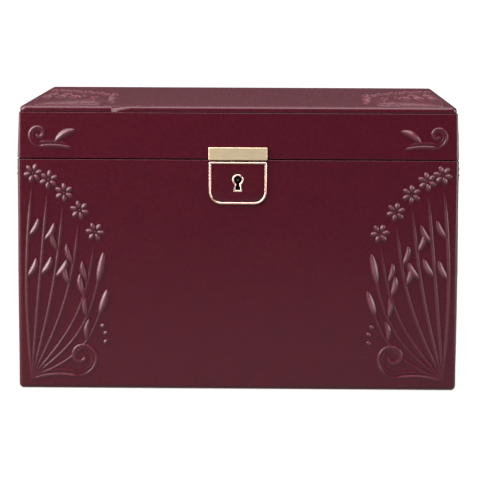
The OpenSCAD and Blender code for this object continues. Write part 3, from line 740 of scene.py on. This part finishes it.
def build_keyhole_rim(settings, rose):
    """The keyhole's rim, rounded like the shield's frame."""
    shape, centre_z = keyhole_shape(settings)
    rings = [standing(keyhole_outline(*shape, settings.keyhole_rim * (1 - share)), WALL_Y - out,
                      centre_z)
             for share, out in rim_section(WALL_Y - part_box("keyhole_rim")[0].y)]
    rings_piece("keyhole_rim_gilt", rings, rose, "base", ("keyhole_rim",), tube=True)


def build_inlay(settings, finish):
    """The leather inside the shield's frame: rings from the keyhole's outline to the shield's,
    where each angle's distance goes from the one to the other by a share."""
    shape, centre_z = keyhole_shape(settings)
    angle = np.linspace(-np.pi, np.pi, 181)[:-1]

    def spoke(outline):
        """Distance from the keyhole's middle to an outline at each angle."""
        bearing = np.arctan2(outline[:, 1], outline[:, 0])
        order = np.argsort(bearing)
        return np.interp(angle, bearing[order], np.hypot(*outline.T)[order], period=2 * np.pi)

    outer = refined(shield_outline(settings, settings.shield_rim * 0.9), 8)
    outer[:, 1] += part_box("escutcheon_frame")[1].z - centre_z
    near = spoke(refined(keyhole_outline(*shape, settings.keyhole_rim * 0.5), 6))
    far = spoke(outer)
    rise = WALL_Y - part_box("escutcheon_inlay")[0].y
    rings = []
    for share, out in ((0, 0), (0, 0.6 * rise), (0.06, 0.85 * rise), (0.3, rise), (0.7, rise),
                       (0.94, 0.85 * rise), (1, 0.55 * rise), (1, 0)):
        reach = near + (far - near) * share
        rings.append(np.stack([reach * np.cos(angle), np.full(len(angle), WALL_Y - out),
                               reach * np.sin(angle) + centre_z], 1))
    rings_piece("escutcheon_inlay_leather", rings, finish, "base",
                ("escutcheon_inlay",), tube=True)


def keyhole_cutter(settings):
    """The keyhole as a solid that runs through the front wall."""
    shape, centre_z = keyhole_shape(settings)
    outline = keyhole_outline(*shape, 0.3 * MM)
    rings = np.stack([standing(outline, y, centre_z)
                      for y in (WALL_Y - 2 * MM, WALL_Y + BOARD_IN + MM)])
    made = plain("cutter", rings, ring_faces(2, len(outline)))
    turn_outwards(made, rings.reshape(-1, 3).mean(0))
    return made


# ---------- soft pieces ----------

def roll_points(width, height, length, count, along, crown):
    """A bar along X with a flat foot and a round top: half a circle on two short walls, drawn in
    a little towards its ends."""
    radius = width / 2
    top = arc((0, height - radius), radius, 0, 180, count)
    foot = np.array([(-radius, 1.2 * MM), (-radius + 1.2 * MM, 0), (0, 0),
                     (radius - 1.2 * MM, 0), (radius, 1.2 * MM)])
    section = np.vstack([top, foot])
    share = np.linspace(-1, 1, along)
    draw = 1 - crown * np.abs(share) ** 10
    x = (share * length / 2)[:, None]
    y = section[:, 0][None, :] * draw[:, None]
    z = section[:, 1][None, :] * draw[:, None] + height * (1 - draw[:, None]) * 0.3
    return np.stack([np.broadcast_to(x, y.shape), y, z], -1)


def stuffed(made, settings):
    """Fills a closed mesh with air as cloth, and keeps each point near where it started."""
    remesh = made.modifiers.new("even mesh", "REMESH")
    remesh.mode = "VOXEL"
    remesh.voxel_size = settings.voxel
    settle(made)
    start = places(made.data)
    cloth = made.modifiers.new("filling", "CLOTH")
    cloth.settings.use_pressure = True
    cloth.settings.uniform_pressure_force = settings.pressure
    cloth.settings.effector_weights.gravity = 0
    scene = bpy.context.scene
    for frame_number in range(1, 21):
        scene.frame_set(frame_number)
    settle(made)
    scene.frame_set(1)
    move = places(made.data) - start
    far = np.linalg.norm(move, axis=1, keepdims=True)
    move *= np.minimum(1, settings.most_swell / np.maximum(far, 1e-9))
    made.data.vertices.foreach_set("co", (start + move).ravel())
    smooth = made.modifiers.new("rounder", "SUBSURF")
    smooth.levels = 1
    smooth.render_levels = 1
    settle(made)


def build_ring_rolls(settings, finish):
    """Seven padded rolls, side by side, which rings stand between."""
    low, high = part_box("ring_rolls")
    pitch = (high.y - low.y + 0.6 * MM) / settings.rolls
    width = pitch - 0.6 * MM
    slack = settings.slack
    points = roll_points(width - 2 * slack, high.z - low.z - 2 * slack,
                         high.x - low.x - 2 * slack, 18, 40, 0.12)
    points[..., 2] += slack
    along, around = points.shape[:2]
    faces = quads(along, around, wrap_columns=True)
    faces += [list(range(around)), [(along - 1) * around + i for i in range(around)][::-1]]
    pattern = plain("roll", points, faces)
    turn_outwards(pattern, points.reshape(-1, 3).mean(0))
    stuffed(pattern, settings)
    spots = places(pattern.data)
    room = np.array([(high.x - low.x) / 2, width / 2, high.z - low.z])
    spots[:, :2] = np.clip(spots[:, :2], -room[:2], room[:2])
    spots[:, 2] = np.clip(spots[:, 2], 0, room[2])
    random = np.random.default_rng(7)
    for i in range(settings.rolls):
        mesh = pattern.data.copy()
        phase = random.uniform(0, 2 * np.pi, 3)
        wave = (np.sin(spots[:, 0] / (17 * MM) + phase[0])
                * np.sin(spots[:, 0] / (6 * MM) + phase[1]))
        moved = spots.copy()
        moved[:, 2] -= 0.25 * MM * (1 + wave) * (spots[:, 2] > room[2] * 0.5)
        moved += [(low.x + high.x) / 2, low.y + width / 2 + i * pitch, low.z]
        mesh.vertices.foreach_set("co", moved.ravel())
        mesh.shade_smooth()
        made = linked(f"ring_roll_{i + 1}", mesh)
        dressed(made, finish, "upper_tray", ("ring_rolls",))
    bpy.data.objects.remove(pattern)


def build_wall_lining(settings, finish):
    """Suede on the four walls: a section with a half-round lip above the rim, a sewn line as a
    groove below it, and a wall that swells as the root of a half sine, carried along each side."""
    z = np.linspace(LIP_Z - 5.5 * MM, LINING_Z, 24)
    sag = settings.lining_crown * np.sin(np.pi * (z - LINING_Z) / (LIP_Z - LINING_Z)) ** 0.5
    wall = np.stack([LINING_IN - 0.4 * MM + 0.4 * MM * sag / settings.lining_crown, z], 1)
    clear = BOARD_IN + 0.5 * MM
    mid, half = (clear + LINING_IN) / 2, (LINING_IN - clear) / 2
    lip = arc((mid, LIP_Z - half), half, 180, 0, 9)
    seam = np.array([(LINING_IN, LIP_Z - 2.6 * MM), (LINING_IN - 0.45 * MM, LIP_Z - 3.4 * MM),
                     (LINING_IN - 0.45 * MM, LIP_Z - 3.8 * MM), (LINING_IN, LIP_Z - 4.6 * MM)])
    back = np.array([(BOARD_IN, LINING_Z), (BOARD_IN, RIM_Z - 0.2 * MM), (clear, RIM_Z)])
    profile = np.vstack([lip, seam, wall, back])
    for side, word in enumerate(SIDE_NAMES):
        reach = half_length(side) - 3 * MM
        columns = (np.linspace(-reach, reach, 40), np.zeros(40))
        wall_piece(f"base_{word}_lining_suede", side, profile, columns, 3 * MM, finish, "base",
                   f"base_{word}_lining")


def build_flat_lining(name, node, finish, body, edge, crown):
    """A flat slab covered in suede, which rises a little to its middle."""
    low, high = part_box(node)
    half_w, half_d = (high.x - low.x) / 2, (high.y - low.y) / 2

    def rise(x, y):
        """The product of two half cosines across and along, less its top, so it stays inside."""
        share = np.cos(x / half_w * np.pi / 2).clip(0) * np.cos(y / half_d * np.pi / 2).clip(0)
        return crown * (share ** 0.4 - 1)

    lines_x = np.linspace(-half_w + 2 * edge, half_w - 2 * edge, 60)
    lines_y = np.linspace(-half_d + 2 * edge, half_d - 2 * edge, 44)
    pillow(name, low, high, 1 * MM, edge, lines_x, lines_y, finish, body,
           (node,), rise)


# ---------- finishes ----------

def calf_leather(name, settings, dye_colour):
    """Calf leather, drum-dyed and glazed, then pressed over the ornament: a close grain of fine
    pebbles, a soft even gloss, slight clouds in the dye, and lighter high points that are partly
    rubbed wear and partly a painted highlight."""
    made, tree, shader, place = material(name, {
        "Specular IOR Level": settings.gloss})
    clouds = add(tree, "TexNoise", {"Scale": 1 / settings.cloud_size, "Detail": 5.0,
                                    "Roughness": 0.65}, Vector=place)
    dye = add(tree, "ValToRGB", Fac=clouds.outputs["Fac"])
    dye.color_ramp.elements[0].position = 0.3
    dye.color_ramp.elements[1].position = 0.72
    dye.color_ramp.elements[0].color = shade(dye_colour, 0.93)
    dye.color_ramp.elements[1].color = shade(dye_colour, 1.07)
    # The high points take a lighter colour: partly rubbed wear, partly a painted highlight on the
    # ridges.
    high = add(tree, "Attribute", {"attribute_name": "relief"})
    rubbed_and_highlit = add(tree, "Math", {"operation": "POWER", 1: 1.4}, Value=high.outputs["Fac"])
    rubbed_and_highlit = add(tree, "Math", {"operation": "MULTIPLY", 1: settings.rub_and_highlight},
                 Value=rubbed_and_highlit.outputs["Value"])
    colour = add(tree, "Mix", {"data_type": "RGBA", 7: settings.rubbed_and_highlit},
                 Factor_Float=rubbed_and_highlit.outputs["Value"], A_Color=dye.outputs["Color"])
    tree.links.new(colour.outputs[2], shader.inputs["Base Color"])
    roughened(tree, shader, place, settings.rough_low, settings.rough_high, 3 * MM)
    pebbles = add(tree, "TexVoronoi", {"Scale": 1 / settings.grain, "feature": "SMOOTH_F1",
                                       "Smoothness": 0.7}, Vector=place)
    creases = add(tree, "TexNoise", {"Scale": 1 / (4 * settings.grain), "Detail": 6.0},
                  Vector=place)
    both = add(tree, "Math", {"operation": "MULTIPLY_ADD", 1: 0.6},
               Value=creases.outputs["Fac"], Value_002=pebbles.outputs["Distance"])
    bump = add(tree, "Bump", {"Strength": settings.grain_strength, "Distance": 0.06 * MM},
               Height=both.outputs["Value"])
    tree.links.new(bump.outputs["Normal"], shader.inputs["Normal"])
    return made


def suede(name, settings):
    """Suede cloth, brushed so that its nap lies in patches: matt, with a pale bloom at its edges
    and soft clouds where the nap has been stroked the other way."""
    made, tree, shader, place = material(name, {
        "Roughness": 0.95, "Specular IOR Level": 0.15, "Sheen Weight": 0.55,
        "Sheen Roughness": 0.45})
    shader.inputs["Sheen Tint"].default_value = shade(settings.nap, 1.3)
    mottled(tree, shader, place, (shade(settings.nap, 0.8), shade(settings.nap, 1.12)), 9 * MM)
    fibres = add(tree, "TexNoise", {"Scale": 1 / settings.fibre, "Detail": 8.0,
                                    "Roughness": 0.8}, Vector=place)
    bump = add(tree, "Bump", {"Strength": 0.5, "Distance": 0.15 * MM},
               Height=fibres.outputs["Fac"])
    tree.links.new(bump.outputs["Normal"], shader.inputs["Normal"])
    return made


def metal(name, colour, low, high, line, strength):
    """Metal with fine lines along X. line is their spacing, and strength how deep they look."""
    made, tree, shader, place = material(name, {"Metallic": 1.0})
    spread = add(tree, "Mapping", {"Scale": (0.02, 1.0, 1.0)}, Vector=place)
    lines = add(tree, "TexNoise", {"Scale": 1 / line, "Detail": 3.0},
                Vector=spread.outputs["Vector"])
    rough = add(tree, "MapRange", {"From Min": 0.3, "From Max": 0.7, "To Min": low,
                                   "To Max": high}, Value=lines.outputs["Fac"])
    tree.links.new(rough.outputs["Result"], shader.inputs["Roughness"])
    mottled(tree, shader, place, (shade(colour, 0.97), shade(colour, 1.02)), 6 * MM)
    bump = add(tree, "Bump", {"Strength": strength, "Distance": 0.02 * MM},
               Height=lines.outputs["Fac"])
    tree.links.new(bump.outputs["Normal"], shader.inputs["Normal"])
    return made


def beech_board(name, settings):
    """Beech plywood, sawn: warm pale wood with long fine grain and short dark flecks."""
    made, tree, shader, place = material(name, {"Specular IOR Level": 0.3})
    long = add(tree, "Mapping", {"Scale": (0.08, 1.0, 1.0)}, Vector=place)
    mottled(tree, shader, long.outputs["Vector"],
            (shade(settings.wood, 0.75), shade(settings.wood, 1.1)), 1.6 * MM)
    roughened(tree, shader, place, 0.6, 0.8, 2 * MM)
    return made


def silvered_glass(name, settings):
    """Glass silvered behind: a clean mirror with the faintest haze of handling."""
    made, tree, shader, place = material(name, {"Metallic": 1.0})
    mottled(tree, shader, place, (shade(settings.silver, 0.98), settings.silver), 30 * MM)
    roughened(tree, shader, place, 0.012, 0.03, 12 * MM)
    return made


# ---------- settings ----------

class LeatherSettings(bpy.types.PropertyGroup):
    """Sizes and colours of the leather."""
    dye: colour_setting("Dye", "Colour of the leather", "#2F040E")
    # Lighter colour of the high points: partly rubbed wear, partly a painted highlight.
    rubbed_and_highlit: colour_setting("Rubbed", "Colour of the leather's rubbed high points", "#A87077")
    cover_dye: colour_setting("Cover dye", "Colour of the cover underneath", "#26040B")
    corner_radius: length_setting("Corner radius", "Radius of the upright corners", 3 * MM)
    rim_radius: length_setting("Rim radius", "Rounding of the rim of the base", 0.45 * MM)
    foot_radius: length_setting("Foot radius", "Rounding where the walls meet the foot", 3.4 * MM)
    lid_edge_radius: length_setting("Lid edge radius", "Rounding of the lid's edges", 0.3 * MM)
    panel_edge_radius: length_setting("Panel edge", "Rounding of the top panel's edge", 2.5 * MM)
    panel_corner_radius: length_setting("Panel corner", "Radius of the panel's corners", 4 * MM)
    ridge: length_setting("Ridge", "Height of the ornament on the walls", 1.0 * MM)
    top_ridge: length_setting("Top ridge", "Height of the ornament on the lid", 0.9 * MM)
    step: length_setting("Step", "Spacing of the points that carry the ornament", 0.48 * MM)
    zone: length_setting("Zone", "Width of the ornament's zone at each corner", 62.5 * MM)
    lid_zone: length_setting("Lid zone", "Width of the ornament's zone on the lid", 43 * MM)
    grain: length_setting("Grain", "Size of the grain's pebbles", 0.55 * MM)
    cloud_size: length_setting("Cloud size", "Size of the clouds in the dye", 14 * MM)
    grain_strength: number_setting("Grain strength", "How deep the grain looks", 0.35, min=0,
                                   max=1)
    gloss: number_setting("Gloss", "Specular level of the leather", 0.21, min=0, max=1)
    # Share of the high points' lighter colour, which is partly rubbed wear and partly a painted
    # highlight.
    rub_and_highlight: number_setting("Rub", "How far the high points are rubbed", 0.07, min=0, max=1)
    rough_low: number_setting("Least roughness", "Roughness where it is glossiest", 0.25)
    rough_high: number_setting("Most roughness", "Roughness where it is dullest", 0.33)


class LiningSettings(bpy.types.PropertyGroup):
    """Sizes and colours of the linings and rolls."""
    nap: colour_setting("Nap", "Colour of the suede lining", "#7C6753")
    fibre: length_setting("Fibre", "Size of the tufts of nap", 0.35 * MM)
    lining_crown: length_setting("Crown", "How far the suede on the walls swells", 0.4 * MM)
    rolls: bpy.props.IntProperty(
        name="Rolls", description="Number of ring rolls", default=7, min=1)
    slack: length_setting("Slack", "How much smaller a roll is before it is filled", 0.9 * MM)
    voxel: length_setting("Voxel", "Spacing of a roll's points before filling", 3 * MM)
    most_swell: length_setting("Most swell", "The most that a point of a roll moves", 1.6 * MM)
    pressure: number_setting("Pressure", "Pressure of a roll's filling", 4, min=0)


class FittingSettings(bpy.types.PropertyGroup):
    """Sizes and colours of the metal, wood and glass."""
    gilt: colour_setting("Gilt", "Colour of the gilt plate and mirror frame", "#C8B596")
    # Pinkish gilt of the shield's frame and keyhole rim: its pink tint is partly a painted
    # reflection of the leather round it.
    rose_gilt: colour_setting("Rose gilt", "Colour of the shield's frame", "#D9AFA0")
    brass: colour_setting("Brass", "Colour of the hinges", "#B08C55")
    steel: colour_setting("Steel", "Colour of the lock's moving parts", "#B4B7BA")
    oiled: colour_setting("Oiled steel", "Colour of the lock's case", "#3A3634")
    wood: colour_setting("Wood", "Colour of the boards", "#8A6E4A")
    silver: colour_setting("Silver", "Colour of the mirror", "#E4EBEE")
    shield_rim: length_setting("Shield rim", "Width of the shield's frame", 1.4 * MM)
    shield_radius: length_setting("Shield radius", "Radius of the shield's corners", 8.5 * MM)
    keyhole_rim: length_setting("Keyhole rim", "Width of the keyhole's rim", 1.2 * MM)
    keyhole_neck: length_setting("Keyhole neck", "Half width of the slot's top", 1.1 * MM)
    keyhole_foot: length_setting("Keyhole foot", "Half width of the slot's foot", 1.8 * MM)


class StageSettings(bpy.types.PropertyGroup):
    """The floor, the lights and the camera."""
    floor: colour_setting("Floor", "Colour of the floor", "#F7F7F7")
    front_floor: colour_setting("Front floor", "Colour of the floor far in front", "#808080")
    sky: number_setting("Sky", "Strength of the light from all round", 0.09, min=0)
    floor_wash: number_setting("Floor wash", "Strength of the light on the floor", 3.6, min=0)
    overhead: number_setting("Overhead", "Power of the overhead softbox", 84, min=0)
    key: number_setting("Key", "Power of the softbox at the upper left", 92, min=0)
    strip: number_setting("Strips", "Power of the upright softboxes at the sides", 20, min=0)
    back: number_setting("Back fill", "Power of the softbox behind", 50, min=0)
    lens: number_setting("Lens", "Focal length of the camera in millimetres", 141.1)
    camera_place: bpy.props.FloatVectorProperty(
        name="Camera place", description="Where the camera stands", size=3, unit="LENGTH",
        default=(0.017, -1.3708, 0.2908))
    camera_turn: bpy.props.FloatVectorProperty(
        name="Camera turn", description="Pitch down, roll and turn of the camera", size=3,
        unit="ROTATION", default=(0.1154, -0.004, 0.0127))
    lift: number_setting("Lens shift", "Upright shift of the lens", -0.12)


# ---------- operators ----------

def finish_named(name, maker, *values):
    """A finish that is made once and used again."""
    return bpy.data.materials.get(name) or maker(name, *values)


def leather_finish():
    """The leather of the walls, the lid and the trays."""
    values = bpy.context.scene.case_leather
    return finish_named("glazed_calf_leather", calf_leather, values, values.dye)


def suede_finish():
    """The suede of the linings, dividers and rolls."""
    return finish_named("brushed_suede_cloth", suede, bpy.context.scene.case_lining)


# Metals: name, colour setting, least and most roughness, spacing of the lines in millimetres, and
# how strong they are
METALS = {
    # Lapped to a satin: an even pale glow with no sharp reflections
    "gilt": ("satin_lapped_gilt", "gilt", 0.42, 0.5, 0.12, 0.08),
    # Burnished: thin bright lines of light along every edge, and a pink tint that is partly a
    # painted reflection of the leather round it
    "rose gilt": ("burnished_rose_gilt", "rose_gilt", 0.2, 0.3, 0.15, 0.1),
    # Buffed: warm, with soft streaks from the wheel
    "brass": ("buffed_hinge_brass", "brass", 0.18, 0.3, 0.15, 0.25),
    # Rolled: grey, with fine lines along the strip
    "steel": ("rolled_lock_steel", "steel", 0.3, 0.45, 0.2, 0.4),
    # Oiled: nearly black, so that the keyhole reads as a dark opening
    "oiled steel": ("oiled_lock_steel", "oiled", 0.5, 0.65, 0.3, 0.25),
}


def fitting_finish(kind):
    """The finish of the metal, wood or glass of one kind."""
    values = bpy.context.scene.case_fittings
    if kind == "wood":
        return finish_named("sawn_beech_board", beech_board, values)
    if kind == "glass":
        return finish_named("silvered_mirror_glass", silvered_glass, values)
    name, colour, low, high, line, strength = METALS[kind]
    return finish_named(name, metal, getattr(values, colour), low, high, line * MM, strength)


def paint(finish, *names):
    """Gives CAD nodes that stay in sight a finish."""
    for name in names:
        NODES[name].data.materials.clear()
        NODES[name].data.materials.append(finish)


# Softboxes: name, place, point they face, size, setting with their power, share of it, and
# whether they show in reflections
SOFTBOXES = (
    ("overhead", (0, -0.42, 1.6), (0, -0.1, 0.1), (1.9, 1.3), "overhead", 1, True),
    ("key", (-1.25, -0.8, 0.98), (0, 0, 0.1), (1.35, 1.2), "key", 1, True),
    ("left strip", (-1.1, -0.3, 0.3), (0, 0, 0.1), (0.5, 0.8), "strip", 1, True),
    ("right strip", (1.1, -0.3, 0.3), (0, 0, 0.1), (0.5, 0.8), "strip", 1, True),
    ("back fill", (0.3, 1.5, 1.5), (0, 0, 0.1), (1.0, 0.8), "back", 1, False),
    ("back glow", (0, 1.5, 1.4), (0, 0, 0.2), (1.4, 0.6), "back", 0.1, True),
)
# Suns for the floor alone: name, share of the floor wash, angle, whether the case shades them
WASHES = (("floor wash", 0.8, 0.1, False), ("soft shade", 0.2, 1.4, True))
FLOOR_REACH = 40.0
FADE_START, FADE_END = -0.34, -0.8


def build_floor(values):
    """The floor, which turns greyer far in front."""
    reach = FLOOR_REACH
    ground = plain("floor", [(-reach, -reach, 0), (reach, -reach, 0), (reach, reach, 0),
                             (-reach, reach, 0)], [(0, 1, 2, 3)])
    made, tree, shader, place = material("matt_white_paint", {
        "Roughness": 0.9, "Specular IOR Level": 0.1})
    soft = mottled(tree, shader, place, (shade(values.floor, 0.99), values.floor), 0.3)
    parts = add(tree, "SeparateXYZ", Vector=place)
    fade = add(tree, "MapRange", {"From Min": FADE_START, "From Max": FADE_END,
                                  "interpolation_type": "SMOOTHSTEP"}, Value=parts.outputs["Y"])
    graded = add(tree, "Mix", {"data_type": "RGBA", 7: values.front_floor},
                 Factor_Float=fade.outputs["Result"], A_Color=soft)
    tree.links.new(graded.outputs[2], shader.inputs["Base Color"])
    ground.data.materials.append(made)
    return ground


def light_stage(scene, values, ground):
    """A dim sky, the floor's own suns, and the softboxes round the case."""
    world = bpy.data.worlds.new("studio")
    scene.world = world
    world.use_nodes = True
    sky = world.node_tree.nodes["Background"]
    sky.inputs["Color"].default_value = linear("#FFFFFF")
    sky.inputs["Strength"].default_value = values.sky
    only_floor = bpy.data.collections.new("only floor")
    only_floor.objects.link(ground)
    for name, share, angle, shaded in WASHES:
        wash = linked(name, bpy.data.lights.new(name, "SUN"))
        wash.data.energy = values.floor_wash * share
        wash.data.angle = angle
        wash.light_linking.receiver_collection = only_floor
        if not shaded:
            wash.light_linking.blocker_collection = only_floor
    for name, place, aim, size, power, share, mirrored in SOFTBOXES:
        softbox(name, place, aim, size, getattr(values, power) * share, ground, mirrored)


def place_camera(scene, values):
    """The camera, from the front and a little above."""
    camera = bpy.data.cameras.new("camera")
    camera.lens = values.lens
    camera.shift_y = values.lift
    camera.clip_end = 100
    holder = linked("camera", camera)
    pitch, roll, turn = values.camera_turn
    holder.location = values.camera_place
    holder.rotation_euler = (math.pi / 2 - pitch, roll, turn)
    scene.camera = holder


class CASE_OT_stage(bpy.types.Operator):
    """Makes the floor, the lights and the camera"""
    bl_idname = "case.stage"
    bl_label = "Stage"

    def execute(self, context):
        scene, values = context.scene, context.scene.case_stage
        scene.view_settings.view_transform = "Standard"
        light_stage(scene, values, build_floor(values))
        place_camera(scene, values)
        return {"FINISHED"}


def softbox(name, place, aim, size, power, spared, mirrored):
    """A rectangular area light at a place, turned to a point. It lights all but one object, and
    mirrored says whether it shows in reflections."""
    lamp = bpy.data.lights.new(name, "AREA")
    lamp.shape = "RECTANGLE"
    lamp.size, lamp.size_y = size
    lamp.energy = power
    made = linked(name, lamp)
    made.location = place
    made.visible_glossy = mirrored
    way = Vector(aim) - Vector(place)
    made.rotation_euler = way.to_track_quat("-Z", "Y").to_euler()
    lit = bpy.data.collections.new(name + " reaches")
    made.light_linking.receiver_collection = lit
    lit.objects.link(spared)
    lit.collection_objects[0].light_linking.link_state = "EXCLUDE"


# The slot in the front wall for the keeper's tongue: its sides, and how far in it starts and ends
TONGUE_LEFT, TONGUE_RIGHT = 9.4 * MM, 12.6 * MM
TONGUE_NEAR, TONGUE_FAR = 4.1 * MM, 8.3 * MM
# How far in from the back a hinge's cut reaches, how deep its leaf is let in, and how far past
# the leather the cut goes
HINGE_CUT_IN, LEAF_SUNK, CUT_PAST = 7.5 * MM, 0.7 * MM, 5 * MM


def hinge_cutters(part, low_z, high_z):
    """Boxes that clear the leather at the back for the leaves of both hinges."""
    leaves = [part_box(f"{side}_hinge_{part}_leaf") for side in ("left", "right")]
    return [box_cutter((low.x, CASE_D / 2 - HINGE_CUT_IN, low_z),
                       (high.x, CASE_D / 2 + CUT_PAST, high_z)) for low, high in leaves]


class CASE_OT_base_leather(bpy.types.Operator):
    """Covers the walls of the base in embossed leather"""
    bl_idname = "case.base_leather"
    bl_label = "Base leather"

    def execute(self, context):
        made = build_base_leather(context.scene.case_leather, leather_finish())
        slot = box_cutter((TONGUE_LEFT, WALL_Y + TONGUE_NEAR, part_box("lid_keeper")[0].z),
                          (TONGUE_RIGHT, WALL_Y + TONGUE_FAR, RIM_Z + MM))
        cut_out(made[FRONT], slot, keyhole_cutter(context.scene.case_fittings))
        cut_out(made[BACK], *hinge_cutters("base", RIM_Z - LEAF_SUNK, RIM_Z + CUT_PAST))
        return {"FINISHED"}


class CASE_OT_lid_leather(bpy.types.Operator):
    """Covers the walls of the lid in embossed leather"""
    bl_idname = "case.lid_leather"
    bl_label = "Lid leather"

    def execute(self, context):
        made = build_lid_leather(context.scene.case_leather, leather_finish())
        cut_out(made[BACK], *hinge_cutters("lid", LID_Z - CUT_PAST, LID_Z + LEAF_SUNK))
        return {"FINISHED"}


class CASE_OT_top_panel(bpy.types.Operator):
    """Makes the leather-covered panel on the lid"""
    bl_idname = "case.top_panel"
    bl_label = "Top panel"

    def execute(self, context):
        build_top_panel(context.scene.case_leather, leather_finish())
        return {"FINISHED"}


class CASE_OT_lock_furniture(bpy.types.Operator):
    """Makes the plate, the shield and the keyhole's rim"""
    bl_idname = "case.lock_furniture"
    bl_label = "Lock furniture"

    def execute(self, context):
        values, rose = context.scene.case_fittings, fitting_finish("rose gilt")
        build_plate(fitting_finish("gilt"))
        build_shield_frame(values, rose)
        build_keyhole_rim(values, rose)
        build_inlay(values, leather_finish())
        return {"FINISHED"}


class CASE_OT_lining(bpy.types.Operator):
    """Lines the base and the lid"""
    bl_idname = "case.lining"
    bl_label = "Lining"

    def execute(self, context):
        finish = suede_finish()
        build_wall_lining(context.scene.case_lining, finish)
        build_flat_lining("base_floor_lining_suede", "base_floor_lining", finish, "base",
                          0.8 * MM, 0.3 * MM)
        softened("lid_lining", finish, "lid", 0.5 * MM)
        for node in ("upper_ledges", "lower_ledges", "long_divider", "cross_dividers"):
            softened(node, finish, "base", 0.6 * MM)
        return {"FINISHED"}


class CASE_OT_trays(bpy.types.Operator):
    """Makes the two trays with their floors, dividers and pull tabs"""
    bl_idname = "case.trays"
    bl_label = "Trays"

    def execute(self, context):
        leather, lining = leather_finish(), suede_finish()
        for body in ("upper_tray", "lower_tray"):
            softened(body + "_rim", leather, body, 0.9 * MM, 3)
            softened(body + "_tab", leather, body, 0.35 * MM)
            build_flat_lining(body + "_floor_suede", body + "_floor", lining, body, 0.5 * MM,
                              0.1 * MM)
        softened("lower_tray_dividers", lining, "lower_tray", 0.5 * MM)
        return {"FINISHED"}


class CASE_OT_ring_rolls(bpy.types.Operator):
    """Stuffs the ring rolls of the upper tray"""
    bl_idname = "case.ring_rolls"
    bl_label = "Ring rolls"

    def execute(self, context):
        build_ring_rolls(context.scene.case_lining, suede_finish())
        return {"FINISHED"}


class CASE_OT_mirror(bpy.types.Operator):
    """Finishes the mirror and its frame"""
    bl_idname = "case.mirror"
    bl_label = "Mirror"

    def execute(self, context):
        paint(fitting_finish("glass"), "mirror_glass")
        softened("mirror_frame", fitting_finish("gilt"), "lid", 0.7 * MM, 3)
        return {"FINISHED"}


class CASE_OT_fittings(bpy.types.Operator):
    """Finishes the hinges, the lock, the boards and the cover underneath"""
    bl_idname = "case.fittings"
    bl_label = "Fittings and boards"

    def execute(self, context):
        brass, steel, gilt = (fitting_finish(kind) for kind in ("brass", "steel", "gilt"))
        for side in ("left", "right"):
            softened(side + "_hinge_base_leaf", brass, "base", 0.12 * MM)
            softened(side + "_hinge_lid_leaf", brass, "lid", 0.12 * MM)
        paint(brass, "hinge_pins", "hinge_base_screws", "hinge_lid_screws")
        paint(steel, "lock_screws", "lock_bolt", "bolt_spring", "keeper_screws")
        paint(fitting_finish("oiled steel"), "lock_case", "lock_cover", "key_post")
        paint(gilt, "lid_keeper")
        paint(fitting_finish("wood"), *[name for name in NODES if name.endswith("_board")])
        values = context.scene.case_leather
        cover = finish_named("rolled_split_leather", calf_leather, values, values.cover_dye)
        softened("base_bottom_cover", cover, "base", 0.3 * MM)
        return {"FINISHED"}


class CASE_PT_panel(bpy.types.Panel):
    """Lists the pieces of the case"""
    bl_idname = "CASE_PT_panel"
    bl_label = "Jewellery Case"
    bl_space_type = "VIEW_3D"
    bl_region_type = "UI"
    bl_category = "Jewellery Case"

    def draw(self, context):
        for operator in OPERATORS:
            self.layout.operator(operator.bl_idname)


GROUPS = {"case_leather": LeatherSettings, "case_lining": LiningSettings,
          "case_fittings": FittingSettings, "case_stage": StageSettings}
OPERATORS = (CASE_OT_stage, CASE_OT_base_leather, CASE_OT_lid_leather, CASE_OT_top_panel,
             CASE_OT_lock_furniture, CASE_OT_lining, CASE_OT_trays, CASE_OT_ring_rolls,
             CASE_OT_mirror, CASE_OT_fittings)


def register():
    for group in (*GROUPS.values(), *OPERATORS, CASE_PT_panel):
        bpy.utils.register_class(group)
    for name, group in GROUPS.items():
        setattr(bpy.types.Scene, name, bpy.props.PointerProperty(type=group))


def unregister():
    for name in GROUPS:
        delattr(bpy.types.Scene, name)
    for group in reversed((*GROUPS.values(), *OPERATORS, CASE_PT_panel)):
        bpy.utils.unregister_class(group)


def main():
    """Builds every piece in order."""
    register()
    for operator in OPERATORS:
        getattr(bpy.ops.case, operator.bl_idname.split(".")[1])()


if __name__ == "__main__":
    main()
